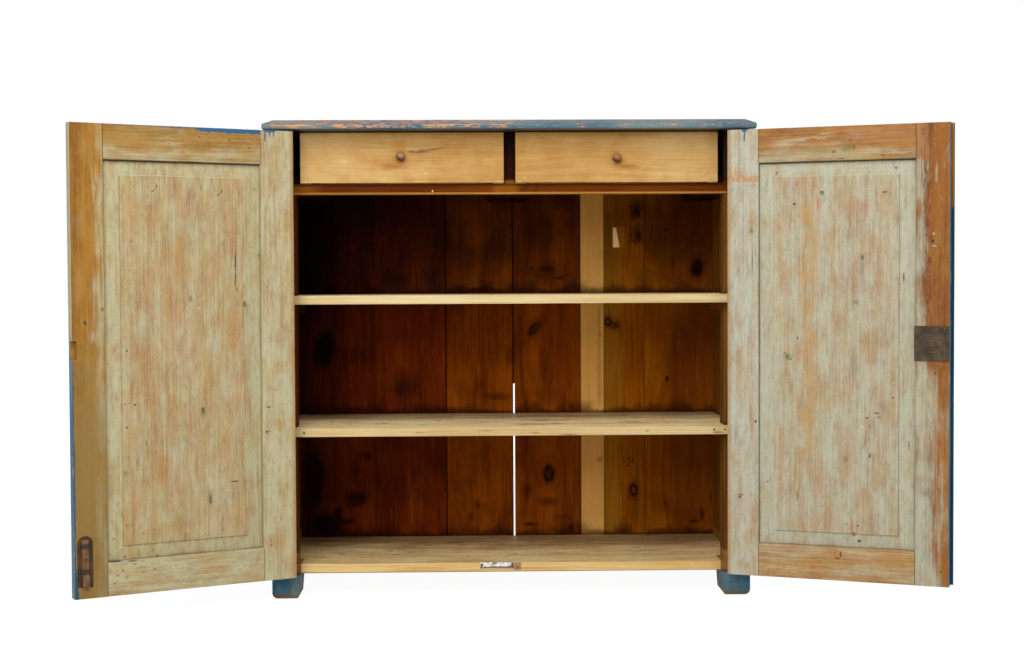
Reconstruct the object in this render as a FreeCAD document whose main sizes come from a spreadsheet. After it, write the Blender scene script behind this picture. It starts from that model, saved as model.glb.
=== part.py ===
import FreeCAD, Part
import os
import Sketcher

# A low pine cupboard on four corner posts: three compartments behind two
# framed doors, two small drawers under the top, a boarded back, an iron lock
# on the right door and a sliding iron bolt on the left one.
#
# X runs to the right, Y to the back and Z up, in millimetres. The floor is
# Z = 0 and the middle of the carcass is X = 0. The carcass is drawn with its
# front plane on Y = 0, each door on its own hinge axis, and the placements at
# the end of each piece set them together: doors open, drawers just ajar.

doc = FreeCAD.newDocument("jelly_cupboard")
vector = FreeCAD.Vector

# ---------------------------------------------------------------- the sizes

SIZES = {
    # the carcass as a whole
    "body_width": 1150,
    "body_depth": 472,
    "overall_height": 1144,
    # top board and its bevelled nosing
    "top_thickness": 25,
    "top_overhang": 14,
    "top_rear_overhang": 3,
    "top_bevel_width": 24,
    "top_bevel_drop": 11,
    "top_nose_radius": 6,
    # front posts with their feet
    "post_front_width": 48,
    "post_shoulder_width": 8.5,
    "post_shoulder_depth": 47,
    "post_depth": 110,
    "foot_width": 67,
    "foot_taper": 4,
    "foot_outer_round": 13,
    "foot_inner_round": 5,
    # rear posts with their feet
    "rear_post_thickness": 25,
    "rear_post_depth": 70,
    # sides and back
    "side_board_thickness": 18,
    "side_groove_depth": 8,
    "side_board_foot": 44,
    "plank_thickness": 18,
    "plank_foot": 48,
    "plank_edge_gap": 1,
    "gap_width": 4.6,
    "gap_top": 485,
    # bottom board, shelves and their ledges
    "bottom_height": 78,
    "bottom_thickness": 22.5,
    "middle_shelf_height": 406,
    "upper_shelf_height": 725,
    "shelf_thickness": 21,
    "door_stop_gap": 1,
    "ledge_width": 20,
    "ledge_height": 28,
    # drawer rail, divider and runners
    "drawer_opening": 125.5,
    "rail_thickness": 25,
    "rail_depth": 30,
    "rail_lap_depth": 20,
    "divider_width": 25,
    "divider_setback": 12,
    "runner_width": 48,
    "guide_width": 13.5,
    "guide_height": 20,
    # doors
    "door_thickness": 25,
    "door_top_gap": 5,
    "meeting_offset": 7.5,
    "meeting_gap": 3,
    "left_hinge_stile": 81.5,
    "left_free_stile": 75,
    "right_hinge_stile": 75,
    "right_free_stile": 76,
    "top_rail_width": 79.5,
    "bottom_rail_width": 78,
    "groove_setback": 6.5,
    "groove_width": 8,
    "groove_depth": 12,
    "panel_play": 0.4,
    "panel_side_margin": 38,
    "panel_end_margin": 33,
    "panel_bevel_rise": 4,
    "panel_field_step": 2,
    "arris_radius": 1.5,
    # how far each door stands open and each drawer stands out
    "left_open_angle": 151,
    "right_open_angle": 157,
    "drawer_ajar": 8,
    # butt hinges
    "hinge_gap": 1.5,
    "hinge_stand_off": 5,
    "knuckle_radius": 4.5,
    "pin_radius": 2.4,
    "pin_running_play": 0.05,
    "pin_fixed_play": 0.02,
    "pin_head_radius": 4,
    "pin_head_height": 3,
    "leaf_thickness": 2,
    "leaf_width": 20,
    "leaf_height": 66,
    "leaf_play": 0.15,
    "hinge_inset": 150,
    # drawers
    "drawer_lift": 2,
    "drawer_top_gap": 2,
    "drawer_side_play": 1.5,
    "drawer_front_thickness": 20,
    "drawer_front_lap": 14,
    "drawer_side_thickness": 12,
    "drawer_side_drop": 12,
    "drawer_strip_width": 14,
    "drawer_strip_height": 8,
    "drawer_run_play": 0.2,
    "drawer_bottom_thickness": 8,
    "drawer_bottom_groove": 6,
    "drawer_back_thickness": 12,
    "drawer_back_drop": 18,
    "drawer_rear_gap": 22,
    # turned knobs
    "knob_radius": 11,
    "knob_neck_radius": 6,
    "knob_flat_radius": 7,
    "knob_neck_length": 3.5,
    "knob_projection": 13,
    "knob_tenon_radius": 5,
    "knob_tenon_play": 0.02,
    "left_knob_shift": -3,
    "left_knob_lift": 3,
    "right_knob_lift": -2,
    # flush bolt on the left door
    "bolt_plate_width": 35.6,
    "bolt_plate_inset": 6.4,
    "bolt_plate_foot": 81,
    "bolt_plate_height": 115,
    "bolt_plate_thickness": 2,
    "bolt_recess_depth": 4,
    "bolt_bar_width": 15,
    "bolt_bar_thickness": 5,
    "bolt_bar_head": 8,
    "bolt_throw": 18,
    "bolt_tip_gap": 4,
    "bolt_crank_gap": 2,
    "bolt_crank_rise": 10,
    "bolt_crank_offset": 6.2,
    "bolt_lug_foot": 145,
    "bolt_lug_height": 9,
    "bolt_lug_projection": 5,
    "bolt_guide_low": 112,
    "bolt_guide_high": 170,
    "bolt_guide_height": 8,
    "bolt_guide_wall": 2,
    "bolt_play": 0.3,
    # iron keeper let into the bottom board
    "keeper_width": 82,
    "keeper_right_end": 6,
    "keeper_depth": 14,
    "keeper_drop": 14,
    "keeper_thickness": 2,
    "keeper_play": 0.6,
    "keeper_slot_depth": 20,
    # lock on the right door
    "lock_plate_width": 79,
    "lock_plate_height": 80,
    "lock_plate_foot": 572,
    "lock_plate_thickness": 2.5,
    "lock_bolt_length": 56,
    "lock_bolt_height": 28,
    "lock_bolt_thickness": 8,
    "lock_bolt_setback": 12.5,
    "lock_bolt_foot": 600,
    "lock_play": 0.3,
    "lock_talon_width": 10,
    "lock_talon_depth": 7,
    "lock_talon_inset": 20,
    "works_depth": 15,
    "works_length": 44,
    "works_height": 60,
    "works_edge": 16,
    "keyhole_radius": 4.5,
    "keyhole_slot_width": 4.2,
    "keyhole_slot_drop": 13,
    # notch for the lock bolt in the left door
    "strike_foot": 590,
    "strike_height": 40,
    "strike_depth": 11,
    "strike_setback": 10.5,
    # cover strip over the meeting edges
    "strip_width": 26.5,
    "strip_lap": 6.5,
    "strip_thickness": 9,
    "strip_relief": 0.5,
    "strip_round": 4,
    "strip_end_gap": 2,
}

# Places worked out from the sizes, each used by two or more pieces.
PLACES = {
    "half_body": "sizes.body_width / 2",
    "half_top": "places.half_body + sizes.top_overhang",
    "top_under": "sizes.overall_height - sizes.top_thickness",
    "rebate_side": "places.half_body - sizes.post_front_width",
    "post_inner": "places.rebate_side - sizes.post_shoulder_width",
    "foot_inner": "places.half_body - sizes.foot_width",
    "side_inner": "places.half_body - sizes.rear_post_thickness",
    "side_outer": "places.side_inner + sizes.side_board_thickness",
    "board_front": "sizes.door_thickness + sizes.door_stop_gap",
    "plank_front": "sizes.body_depth - sizes.plank_thickness",
    "rear_post_front": "places.plank_front - sizes.rear_post_depth",
    "bottom_under": "sizes.bottom_height - sizes.bottom_thickness",
    "middle_under": "sizes.middle_shelf_height - sizes.shelf_thickness",
    "upper_under": "sizes.upper_shelf_height - sizes.shelf_thickness",
    "rail_height": "places.top_under - sizes.drawer_opening",
    "rail_under": "places.rail_height - sizes.rail_thickness",
    "rail_back": "sizes.post_shoulder_depth + sizes.rail_depth",
    "door_low": "places.bottom_under",
    "door_high": "places.top_under - sizes.door_top_gap",
    "hinge_x": "places.rebate_side - sizes.hinge_gap / 2",
    # along a door, from its hinge axis
    "edge_near": "sizes.hinge_gap / 2",
    "left_edge_far": "places.hinge_x + sizes.meeting_offset - sizes.meeting_gap / 2",
    "right_edge_far": "places.hinge_x - sizes.meeting_offset - sizes.meeting_gap / 2",
    # through a door, from its hinge axis towards the inside
    "face_out": "sizes.hinge_stand_off",
    "face_in": "sizes.hinge_stand_off + sizes.door_thickness",
    "groove_out": "places.face_out + sizes.groove_setback",
    "groove_in": "places.groove_out + sizes.groove_width",
    "low_rail_top": "places.door_low + sizes.bottom_rail_width",
    "high_rail_foot": "places.door_high - sizes.top_rail_width",
    # hinges
    "low_hinge": "places.door_low + sizes.hinge_inset",
    "high_hinge": "places.door_high - sizes.hinge_inset",
    "leaf_mortise": "sizes.leaf_play + sizes.leaf_thickness - places.edge_near",
    # drawers, pushed home
    "drawer_foot": "places.rail_height + sizes.drawer_run_play",
    "drawer_front_foot": "places.rail_height + sizes.drawer_lift",
    "drawer_front_head": "places.top_under - sizes.drawer_top_gap",
    "drawer_inner": "sizes.divider_width / 2 + sizes.drawer_side_play",
    "drawer_outer": "places.post_inner - sizes.guide_width - sizes.drawer_side_play",
    "drawer_face": "sizes.post_shoulder_depth",
    "drawer_front_back": "places.drawer_face + sizes.drawer_front_thickness",
    "drawer_end": "places.plank_front - sizes.drawer_rear_gap",
    "drawer_side_head": "places.drawer_front_head - sizes.drawer_side_drop",
    "strip_head": "places.drawer_foot + sizes.drawer_strip_height",
    "drawer_floor": "places.strip_head + sizes.drawer_bottom_thickness",
    # flush bolt and its keeper
    "bolt_middle": "places.left_edge_far - sizes.bolt_plate_inset - sizes.bolt_plate_width / 2",
    "bolt_back": "places.face_in - sizes.bolt_recess_depth + sizes.bolt_plate_thickness",
    "bolt_front": "places.bolt_back + sizes.bolt_bar_thickness",
    "bolt_plate_head": "sizes.bolt_plate_foot + sizes.bolt_plate_height",
    "bolt_tip": "sizes.bottom_height + sizes.bolt_tip_gap",
    "bolt_crank_low": "sizes.bottom_height + sizes.bolt_throw + sizes.bolt_crank_gap",
    "bolt_crank_high": "places.bolt_crank_low + sizes.bolt_crank_rise",
    "slot_middle": "places.bolt_middle - places.hinge_x",
    "slot_near": "places.bolt_back + sizes.bolt_crank_offset - sizes.hinge_stand_off",
    "keeper_left_end": "sizes.keeper_right_end - sizes.keeper_width",
    # lock
    "lock_middle": "sizes.lock_plate_foot + sizes.lock_plate_height / 2",
    "lock_bolt_out": "places.face_out + sizes.lock_bolt_setback",
    "lock_bolt_in": "places.lock_bolt_out + sizes.lock_bolt_thickness",
    "lock_channel_foot": "sizes.lock_bolt_foot - sizes.lock_play",
    "lock_channel_head": "sizes.lock_bolt_foot + sizes.lock_bolt_height + sizes.lock_play",
    "keyhole_middle": "places.right_edge_far - sizes.works_edge - sizes.works_length / 2",
    # the depth that the open doors reach in front of the carcass
    "door_reach": "places.left_edge_far * sin(sizes.left_open_angle * 1deg)"
    " - places.face_in * cos(sizes.left_open_angle * 1deg) + sizes.hinge_stand_off",
    "front_plane": "(places.door_reach - sizes.body_depth) / 2",
    "hinge_y": "places.front_plane - sizes.hinge_stand_off",
}

# The seams between the back planks, as distances from the carcass's middle.
PLANK_EDGES = {
    "plank_edge_first": -351,
    "plank_edge_second": -162,
    "plank_edge_third": 16,
    "plank_edge_fourth": 196,
    "plank_edge_fifth": 259,
    "plank_edge_sixth": 366,
}


def write_sheet(name, cells, formula):
    """A sheet with one alias per row, in columns A (name) and B (value)."""
    sheet = doc.addObject("Spreadsheet::Sheet", name)
    for row, (alias, value) in enumerate(cells.items(), start=1):
        sheet.set(f"A{row}", alias)
        sheet.set(f"B{row}", ("=" if formula else "") + str(value))
        sheet.setAlias(f"B{row}", alias)
    doc.recompute()
    return sheet


sizes = write_sheet("sizes", {**SIZES, **PLANK_EDGES}, formula=False)
places = write_sheet("places", PLACES, formula=True)

# ------------------------------------------------------ drawing and shaping

# how near, in mm, two places count as one
TOUCH = 0.01
PLANE_ROLE = {"x": "YZ_Plane", "y": "XZ_Plane", "z": "XY_Plane"}
PLANE_SIGN = {"x": 1, "y": -1, "z": 1}
finished = []


def new_body(label):
    body = doc.addObject("PartDesign::Body", label)
    body.Label = label
    return body


def new_sketch(body, name, axis, height, shift=None):
    """A sketch square to an axis, at a height along it; shift moves its origin."""
    sketch = body.newObject("Sketcher::SketchObject", f"{body.Name}_{name}_outline")
    for plane in body.Origin.OriginFeatures:
        if plane.Role == PLANE_ROLE[axis]:
            sketch.AttachmentSupport = [(plane, "")]
    sketch.MapMode = "FlatFace"
    sketch.setExpression("AttachmentOffset.Base.z", f"{PLANE_SIGN[axis]} * ({height})")
    if shift:
        sketch.setExpression("AttachmentOffset.Base.x", shift[0])
        sketch.setExpression("AttachmentOffset.Base.y", shift[1])
    return sketch


def bind(sketch, kind, *target):
    """A dimension from the sketch's origin whose value is an expression."""
    *where, expression = target
    index = sketch.addConstraint(Sketcher.Constraint(kind, *where, 1.0))
    sketch.setExpression(f"Constraints[{index}]", expression)


def draw_corners(sketch, corners):
    """A closed outline of straight edges through corners given as expressions."""
    count = len(corners)
    # any simple ring will do to start from: the dimensions pull it into place
    ring = [vector(7 * i, 1 + 3 * i * i, 0) for i in range(count)]
    for i in range(count):
        sketch.addGeometry(Part.LineSegment(ring[i], ring[(i + 1) % count]), False)
    for i in range(count):
        sketch.addConstraint(Sketcher.Constraint("Coincident", i, 2, (i + 1) % count, 1))
    for i, (across, up) in enumerate(corners):
        bind(sketch, "DistanceX", -1, 1, i, 1, across)
        bind(sketch, "DistanceY", -1, 1, i, 1, up)


def draw_circle(sketch, radius, middle=("0", "0")):
    sketch.addGeometry(Part.Circle(vector(1, 1, 0), vector(0, 0, 1), 1), False)
    bind(sketch, "DistanceX", -1, 1, 0, 3, middle[0])
    bind(sketch, "DistanceY", -1, 1, 0, 3, middle[1])
    bind(sketch, "Radius", 0, radius)


def extrude(body, kind, name, sketch, low, high):
    """A pad or pocket from low to high, drawn both ways from its middle."""
    feature = body.newObject(f"PartDesign::{kind}", f"{body.Name}_{name}")
    feature.Profile = sketch
    feature.Midplane = True
    feature.setExpression("Length", f"({high}) - ({low})")
    return feature


def pad(body, name, axis, corners, low, high):
    sketch = new_sketch(body, name, axis, f"(({low}) + ({high})) / 2")
    draw_corners(sketch, corners)
    return extrude(body, "Pad", name, sketch, low, high)


def pocket(body, name, axis, corners, low, high):
    sketch = new_sketch(body, name, axis, f"(({low}) + ({high})) / 2")
    draw_corners(sketch, corners)
    return extrude(body, "Pocket", name, sketch, low, high)


def round_pad(body, name, axis, radius, low, high, middle=("0", "0")):
    sketch = new_sketch(body, name, axis, f"(({low}) + ({high})) / 2")
    draw_circle(sketch, radius, middle)
    return extrude(body, "Pad", name, sketch, low, high)


def round_pocket(body, name, axis, radius, low, high, middle=("0", "0")):
    sketch = new_sketch(body, name, axis, f"(({low}) + ({high})) / 2")
    draw_circle(sketch, radius, middle)
    return extrude(body, "Pocket", name, sketch, low, high)


def revolve(body, name, axis, corners, shift, height="0"):
    """Turns an outline of (radius, along) corners about the sketch's upright."""
    sketch = new_sketch(body, name, axis, height, shift)
    draw_corners(sketch, corners)
    turned = body.newObject("PartDesign::Revolution", f"{body.Name}_{name}")
    turned.Profile = sketch
    turned.ReferenceAxis = (sketch, ["V_Axis"])
    turned.Angle = 360
    return turned


def ease_edges(body, name, radius, wanted):
    """Rounds the edges of the body so far for which wanted(edge) is true."""
    doc.recompute()
    base = body.Tip
    chosen = [
        f"Edge{i}" for i, edge in enumerate(base.Shape.Edges, start=1) if wanted(edge)
    ]
    fillet = body.newObject("PartDesign::Fillet", f"{body.Name}_{name}")
    fillet.Base = (base, chosen)
    fillet.setExpression("Radius", radius)
    return fillet


def rectangle(left, right, low, high):
    return [(left, low), (right, low), (right, high), (left, high)]


def mirrored(side, corners):
    """The same outline on the left (-1) or right (1) of the upright through 0."""
    return [(f"{side} * ({across})", up) for across, up in corners]


def runs_along(edge, axis):
    """True for a straight edge parallel to X, Y or Z."""
    if not isinstance(edge.Curve, Part.Line):
        return False
    return 1 - abs(getattr(edge.Curve.Direction, axis)) < TOUCH


def long_corners(body, axis):
    """Chooses the four outermost long edges of a bar that lies along an axis."""
    doc.recompute()
    box = body.Tip.Shape.BoundBox
    limits = {"x": (box.XMin, box.XMax), "y": (box.YMin, box.YMax), "z": (box.ZMin, box.ZMax)}
    across = [name for name in "xyz" if name != axis]

    def wanted(edge):
        middle = edge.CenterOfMass
        ends = [min(abs(getattr(middle, n) - v) for v in limits[n]) for n in across]
        return runs_along(edge, axis) and max(ends) < TOUCH

    return wanted


def place(piece, frame):
    """Puts a piece where its frame stands: x, y and the angle about Z."""
    x, y, angle = FRAMES[frame]
    piece.setExpression("Placement.Base.x", x)
    piece.setExpression("Placement.Base.y", y)
    piece.setExpression("Placement.Rotation.Angle", angle)


def finish(piece, frame):
    place(piece, frame)
    finished.append(piece)
    return piece


def group(label, pieces):
    """Several solids of one kind that share one name."""
    bundle = doc.addObject("Part::Compound", label)
    bundle.Label = label
    bundle.Links = pieces
    finished.append(bundle)
    return bundle


FRAMES = {
    "carcass": ("0", "places.front_plane", "0"),
    "drawers": ("0", "places.front_plane - sizes.drawer_ajar", "0"),
    "left_door": ("-places.hinge_x", "places.hinge_y", "-sizes.left_open_angle"),
    "right_door": ("places.hinge_x", "places.hinge_y", "sizes.right_open_angle"),
}
SIDES = {"left": -1, "right": 1}

# ------------------------------------------------------------------ carcass


def make_top_board():
    """A board whose front and two ends share one bevelled, rounded nosing."""
    head = "sizes.overall_height"
    under = "places.top_under"
    shoulder = f"{head} - sizes.top_bevel_drop"
    lip = "-sizes.top_overhang"
    back = "sizes.body_depth + sizes.top_rear_overhang"
    end = "places.half_top"
    bevel = "sizes.top_bevel_width"
    length = new_body("top_board_length")
    pad(
        length,
        "section",
        "x",
        [(lip, under), (back, under), (back, head), (f"{lip} + {bevel}", head), (lip, shoulder)],
        f"-({end})",
        end,
    )
    front = float(-sizes.top_overhang)
    low_step = float(places.top_under) - TOUCH
    high_step = float(sizes.overall_height - sizes.top_bevel_drop) + TOUCH

    def front_nose(edge):
        middle = edge.CenterOfMass
        return (
            runs_along(edge, "x")
            and abs(middle.y - front) < TOUCH
            and low_step < middle.z < high_step
        )

    ease_edges(length, "nose", "sizes.top_nose_radius", front_nose)
    width = new_body("top_board_width")
    pad(
        width,
        "section",
        "y",
        [
            (f"-({end})", under),
            (end, under),
            (end, shoulder),
            (f"{end} - {bevel}", head),
            (f"{bevel} - {end}", head),
            (f"-({end})", shoulder),
        ],
        f"{lip} - {bevel}",
        f"{back} + {bevel}",
    )
    reach = float(places.half_top)

    def end_nose(edge):
        middle = edge.CenterOfMass
        return (
            runs_along(edge, "y")
            and abs(abs(middle.x) - reach) < TOUCH
            and low_step < middle.z < high_step
        )

    ease_edges(width, "nose", "sizes.top_nose_radius", end_nose)
    board = doc.addObject("Part::Common", "top_board")
    board.Label = "top_board"
    board.Base = length
    board.Tool = width
    for half in (length, width):
        place(half, "carcass")
    finished.append(board)


def make_front_post(name, side):
    """A rebated post that swells into its foot below the bottom board."""
    body = new_body(f"front_post_{name}")
    depth = "sizes.post_depth"
    shoulder = "sizes.post_shoulder_depth"
    rebate = "places.rebate_side"
    outer = "places.half_body"
    pad(
        body,
        "upper",
        "z",
        mirrored(
            side,
            [
                (rebate, "0"),
                (outer, "0"),
                (outer, depth),
                ("places.post_inner", depth),
                ("places.post_inner", shoulder),
                (rebate, shoulder),
            ],
        ),
        "sizes.bottom_height",
        "places.top_under",
    )
    pad(
        body,
        "stop",
        "z",
        mirrored(
            side,
            [
                (rebate, "0"),
                (outer, "0"),
                (outer, depth),
                ("places.foot_inner", depth),
                ("places.foot_inner", "places.board_front"),
                (rebate, "places.board_front"),
            ],
        ),
        "places.door_low - sizes.door_stop_gap",
        "sizes.bottom_height",
    )
    pad(
        body,
        "foot",
        "y",
        mirrored(
            side,
            [
                ("places.foot_inner + sizes.foot_taper", "0"),
                (outer, "0"),
                (outer, "places.door_low - sizes.door_stop_gap"),
                ("places.foot_inner", "places.door_low - sizes.door_stop_gap"),
            ],
        ),
        "0",
        depth,
    )
    pocket(
        body,
        "side_groove",
        "z",
        mirrored(
            side,
            rectangle(
                "places.side_inner",
                "places.side_outer",
                f"{depth} - sizes.side_groove_depth",
                f"{depth} + sizes.side_groove_depth",
            ),
        ),
        "sizes.side_board_foot",
        "places.top_under",
    )
    pocket(
        body,
        "rail_seat",
        "z",
        mirrored(
            side,
            rectangle(
                "places.post_inner - sizes.post_shoulder_width",
                rebate,
                f"{shoulder} - sizes.rail_lap_depth",
                f"{shoulder} + sizes.rail_lap_depth",
            ),
        ),
        "places.rail_under",
        "places.rail_height",
    )
    for level in ("low", "high"):
        pocket(
            body,
            f"{level}_leaf_seat",
            "z",
            mirrored(
                side,
                rectangle(
                    f"{rebate} - sizes.leaf_thickness",
                    f"{rebate} + places.leaf_mortise",
                    "-sizes.leaf_width",
                    "sizes.leaf_width",
                ),
            ),
            f"places.{level}_hinge - sizes.leaf_height / 2",
            f"places.{level}_hinge + sizes.leaf_height / 2",
        )
    round_sole(body)
    finish(body, "carcass")


def round_sole(body):
    """Rounds a foot's two lower edges that run back, the outer one the most."""
    reach = float(places.half_body)

    def at_sole(edge):
        return runs_along(edge, "y") and abs(edge.CenterOfMass.z) < TOUCH

    def outer(edge):
        return at_sole(edge) and abs(abs(edge.CenterOfMass.x) - reach) < TOUCH

    def inner(edge):
        return at_sole(edge) and abs(abs(edge.CenterOfMass.x) - reach) > float(sizes.foot_outer_round)

    ease_edges(body, "outer_sole", "sizes.foot_outer_round", outer)
    ease_edges(body, "inner_sole", "sizes.foot_inner_round", inner)


def make_rear_post(name, side):
    """A flat post in the back corner, with a foot as wide as the front one."""
    body = new_body(f"rear_post_{name}")
    front = "places.rear_post_front"
    pad(
        body,
        "upper",
        "z",
        mirrored(
            side,
            rectangle("places.side_inner", "places.half_body", front, "places.plank_front"),
        ),
        "places.bottom_under",
        "places.top_under",
    )
    pad(
        body,
        "foot",
        "y",
        mirrored(
            side,
            [
                ("places.foot_inner + sizes.foot_taper", "0"),
                ("places.half_body", "0"),
                ("places.half_body", "places.bottom_under"),
                ("places.foot_inner", "places.bottom_under"),
            ],
        ),
        front,
        "places.plank_front",
    )
    pocket(
        body,
        "side_groove",
        "z",
        mirrored(
            side,
            rectangle(
                "places.side_inner - sizes.side_groove_depth",
                "places.side_outer",
                f"{front} - sizes.side_groove_depth",
                f"{front} + sizes.side_groove_depth",
            ),
        ),
        "sizes.side_board_foot",
        "places.top_under",
    )

    round_sole(body)
    finish(body, "carcass")


def make_side_boards(name, side):
    """Two upright boards, edge to edge, held in the posts' grooves."""
    front = "sizes.post_depth - sizes.side_groove_depth"
    back = "places.rear_post_front + sizes.side_groove_depth"
    joint = f"(({front}) + ({back})) / 2"
    boards = []
    for part, low, high in (("front", front, joint), ("rear", joint, back)):
        body = new_body(f"side_board_{name}_{part}")
        pad(
            body,
            "board",
            "z",
            mirrored(side, rectangle("places.side_inner", "places.side_outer", low, high)),
            "sizes.side_board_foot",
            "places.top_under",
        )
        place(body, "carcass")
        boards.append(body)
    group(f"side_boards_{name}", boards)


def board_between_posts(label, under, head):
    """A board notched round both front posts, with ears that lap their fronts."""
    body = new_body(label)
    ear = "places.rebate_side - sizes.door_stop_gap / 2"
    right = [
        (ear, "places.board_front"),
        (ear, "sizes.post_shoulder_depth"),
        ("places.post_inner", "sizes.post_shoulder_depth"),
        ("places.post_inner", "sizes.post_depth"),
        ("places.side_inner", "sizes.post_depth"),
        ("places.side_inner", "places.plank_front"),
    ]
    left = [(f"-({across})", up) for across, up in reversed(right)]
    pad(body, "board", "z", right + left, under, head)
    ease_edges(body, "front_arris", "sizes.arris_radius", front_arris(body))
    return body


def front_arris(body):
    """Chooses the upper and lower edges of a board's front."""
    doc.recompute()
    front = body.Tip.Shape.BoundBox.YMin

    def wanted(edge):
        return runs_along(edge, "x") and abs(edge.CenterOfMass.y - front) < TOUCH

    return wanted


def make_shelf(label, under, head):
    finish(board_between_posts(label, under, head), "carcass")


def make_bottom_board():
    """The lowest board, housed between the feet and cut for the bolt's keeper."""
    body = new_body("bottom_board")
    right = [
        ("places.foot_inner", "places.board_front"),
        ("places.foot_inner", "sizes.post_depth"),
        ("places.side_inner", "sizes.post_depth"),
        ("places.side_inner", "places.plank_front"),
    ]
    left = [(f"-({across})", up) for across, up in reversed(right)]
    pad(body, "board", "z", right + left, "places.bottom_under", "sizes.bottom_height")
    ease_edges(body, "front_arris", "sizes.arris_radius", front_arris(body))
    front = "places.board_front"
    head = "sizes.bottom_height"
    pocket(
        body,
        "keeper_seat",
        "x",
        [
            (f"{front} - sizes.keeper_drop", f"{head} - sizes.keeper_drop"),
            (f"{front} + sizes.keeper_thickness", f"{head} - sizes.keeper_drop"),
            (f"{front} + sizes.keeper_thickness", f"{head} - sizes.keeper_thickness"),
            (f"{front} + sizes.keeper_depth", f"{head} - sizes.keeper_thickness"),
            (f"{front} + sizes.keeper_depth", f"{head} + sizes.keeper_drop"),
            (f"{front} - sizes.keeper_drop", f"{head} + sizes.keeper_drop"),
        ],
        "places.keeper_left_end",
        "sizes.keeper_right_end",
    )
    pocket(
        body,
        "bolt_slot",
        "z",
        bolt_slot_outline(),
        f"{head} - sizes.keeper_slot_depth",
        f"{head} + sizes.keeper_slot_depth",
    )
    finish(body, "carcass")


def bolt_slot_outline():
    """The hole for the flush bolt's tip, a little larger than the bar."""
    reach = "(sizes.bolt_bar_width / 2 + sizes.keeper_play)"
    return rectangle(
        f"places.slot_middle - {reach}",
        f"places.slot_middle + {reach}",
        "places.slot_near - sizes.keeper_play",
        "places.slot_near + sizes.bolt_bar_thickness + sizes.keeper_play",
    )


def make_keeper():
    """An angle of iron over the board's front edge, with a hole for the bolt."""
    body = new_body("bolt_keeper")
    front = "places.board_front"
    head = "sizes.bottom_height"
    inner = f"{front} + sizes.keeper_thickness"
    floor = f"{head} - sizes.keeper_thickness"
    pad(
        body,
        "angle",
        "x",
        [
            (front, f"{head} - sizes.keeper_drop"),
            (inner, f"{head} - sizes.keeper_drop"),
            (inner, floor),
            (f"{front} + sizes.keeper_depth", floor),
            (f"{front} + sizes.keeper_depth", head),
            (front, head),
        ],
        "places.keeper_left_end",
        "sizes.keeper_right_end",
    )
    pocket(
        body,
        "bolt_hole",
        "z",
        bolt_slot_outline(),
        f"{head} - sizes.keeper_slot_depth",
        f"{head} + sizes.keeper_slot_depth",
    )
    finish(body, "carcass")


def make_ledges():
    """A ledge under each end of the three boards, on the inside of the sides."""
    ledges = []
    for level in ("bottom", "middle", "upper"):
        for name, side in SIDES.items():
            body = new_body(f"{level}_ledge_{name}")
            pad(
                body,
                "bar",
                "z",
                mirrored(
                    side,
                    rectangle(
                        "places.side_inner - sizes.ledge_width",
                        "places.side_inner",
                        "sizes.post_depth",
                        "places.rear_post_front" if level == "bottom" else "places.plank_front",
                    ),
                ),
                f"places.{level}_under - sizes.ledge_height",
                f"places.{level}_under",
            )
            place(body, "carcass")
            ledges.append(body)
    group("shelf_ledges", ledges)


def make_drawer_rail():
    """The rail under the drawers, lapped into the posts' faces."""
    body = new_body("drawer_rail")
    lap = "sizes.post_shoulder_depth + sizes.rail_lap_depth"
    right = [
        ("places.rebate_side", "sizes.post_shoulder_depth"),
        ("places.rebate_side", lap),
        ("places.post_inner", lap),
        ("places.post_inner", "places.rail_back"),
    ]
    left = [(f"-({across})", up) for across, up in reversed(right)]
    pad(body, "rail", "z", right + left, "places.rail_under", "places.rail_height")
    ease_edges(body, "front_arris", "sizes.arris_radius", front_arris(body))
    finish(body, "carcass")


def make_drawer_divider():
    """The short upright between the drawers, set back from the rail's face."""
    body = new_body("drawer_divider")
    pad(
        body,
        "post",
        "z",
        rectangle(
            "-sizes.divider_width / 2",
            "sizes.divider_width / 2",
            "sizes.post_shoulder_depth + sizes.divider_setback",
            "places.rail_back",
        ),
        "places.rail_height",
        "places.top_under",
    )
    finish(body, "carcass")


def make_drawer_runners():
    """Rebated runners behind the rail: one at each side and one in the middle."""
    runners = []
    under = "places.rail_under"
    head = "places.rail_height"
    crest = f"{head} + sizes.guide_height"
    for name, side in SIDES.items():
        body = new_body(f"drawer_runner_{name}")
        pad(
            body,
            "ledge",
            "z",
            mirrored(
                side,
                [
                    ("places.post_inner - sizes.runner_width", "places.rail_back"),
                    ("places.post_inner", "places.rail_back"),
                    ("places.post_inner", "sizes.post_depth"),
                    ("places.side_inner", "sizes.post_depth"),
                    ("places.side_inner", "places.plank_front"),
                    ("places.post_inner - sizes.runner_width", "places.plank_front"),
                ],
            ),
            under,
            head,
        )
        pad(
            body,
            "guide",
            "z",
            mirrored(
                side,
                rectangle(
                    "places.post_inner - sizes.guide_width",
                    "places.post_inner",
                    "places.rail_back",
                    "places.plank_front",
                ),
            ),
            head,
            crest,
        )
        place(body, "carcass")
        runners.append(body)
    body = new_body("drawer_runner_middle")
    half = "sizes.runner_width"
    stem = "sizes.divider_width / 2"
    pad(
        body,
        "section",
        "y",
        [
            (f"-({half})", under),
            (half, under),
            (half, head),
            (stem, head),
            (stem, crest),
            (f"-({stem})", crest),
            (f"-({stem})", head),
            (f"-({half})", head),
        ],
        "places.rail_back",
        "places.plank_front",
    )
    place(body, "carcass")
    runners.append(body)
    group("drawer_runners", runners)


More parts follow.
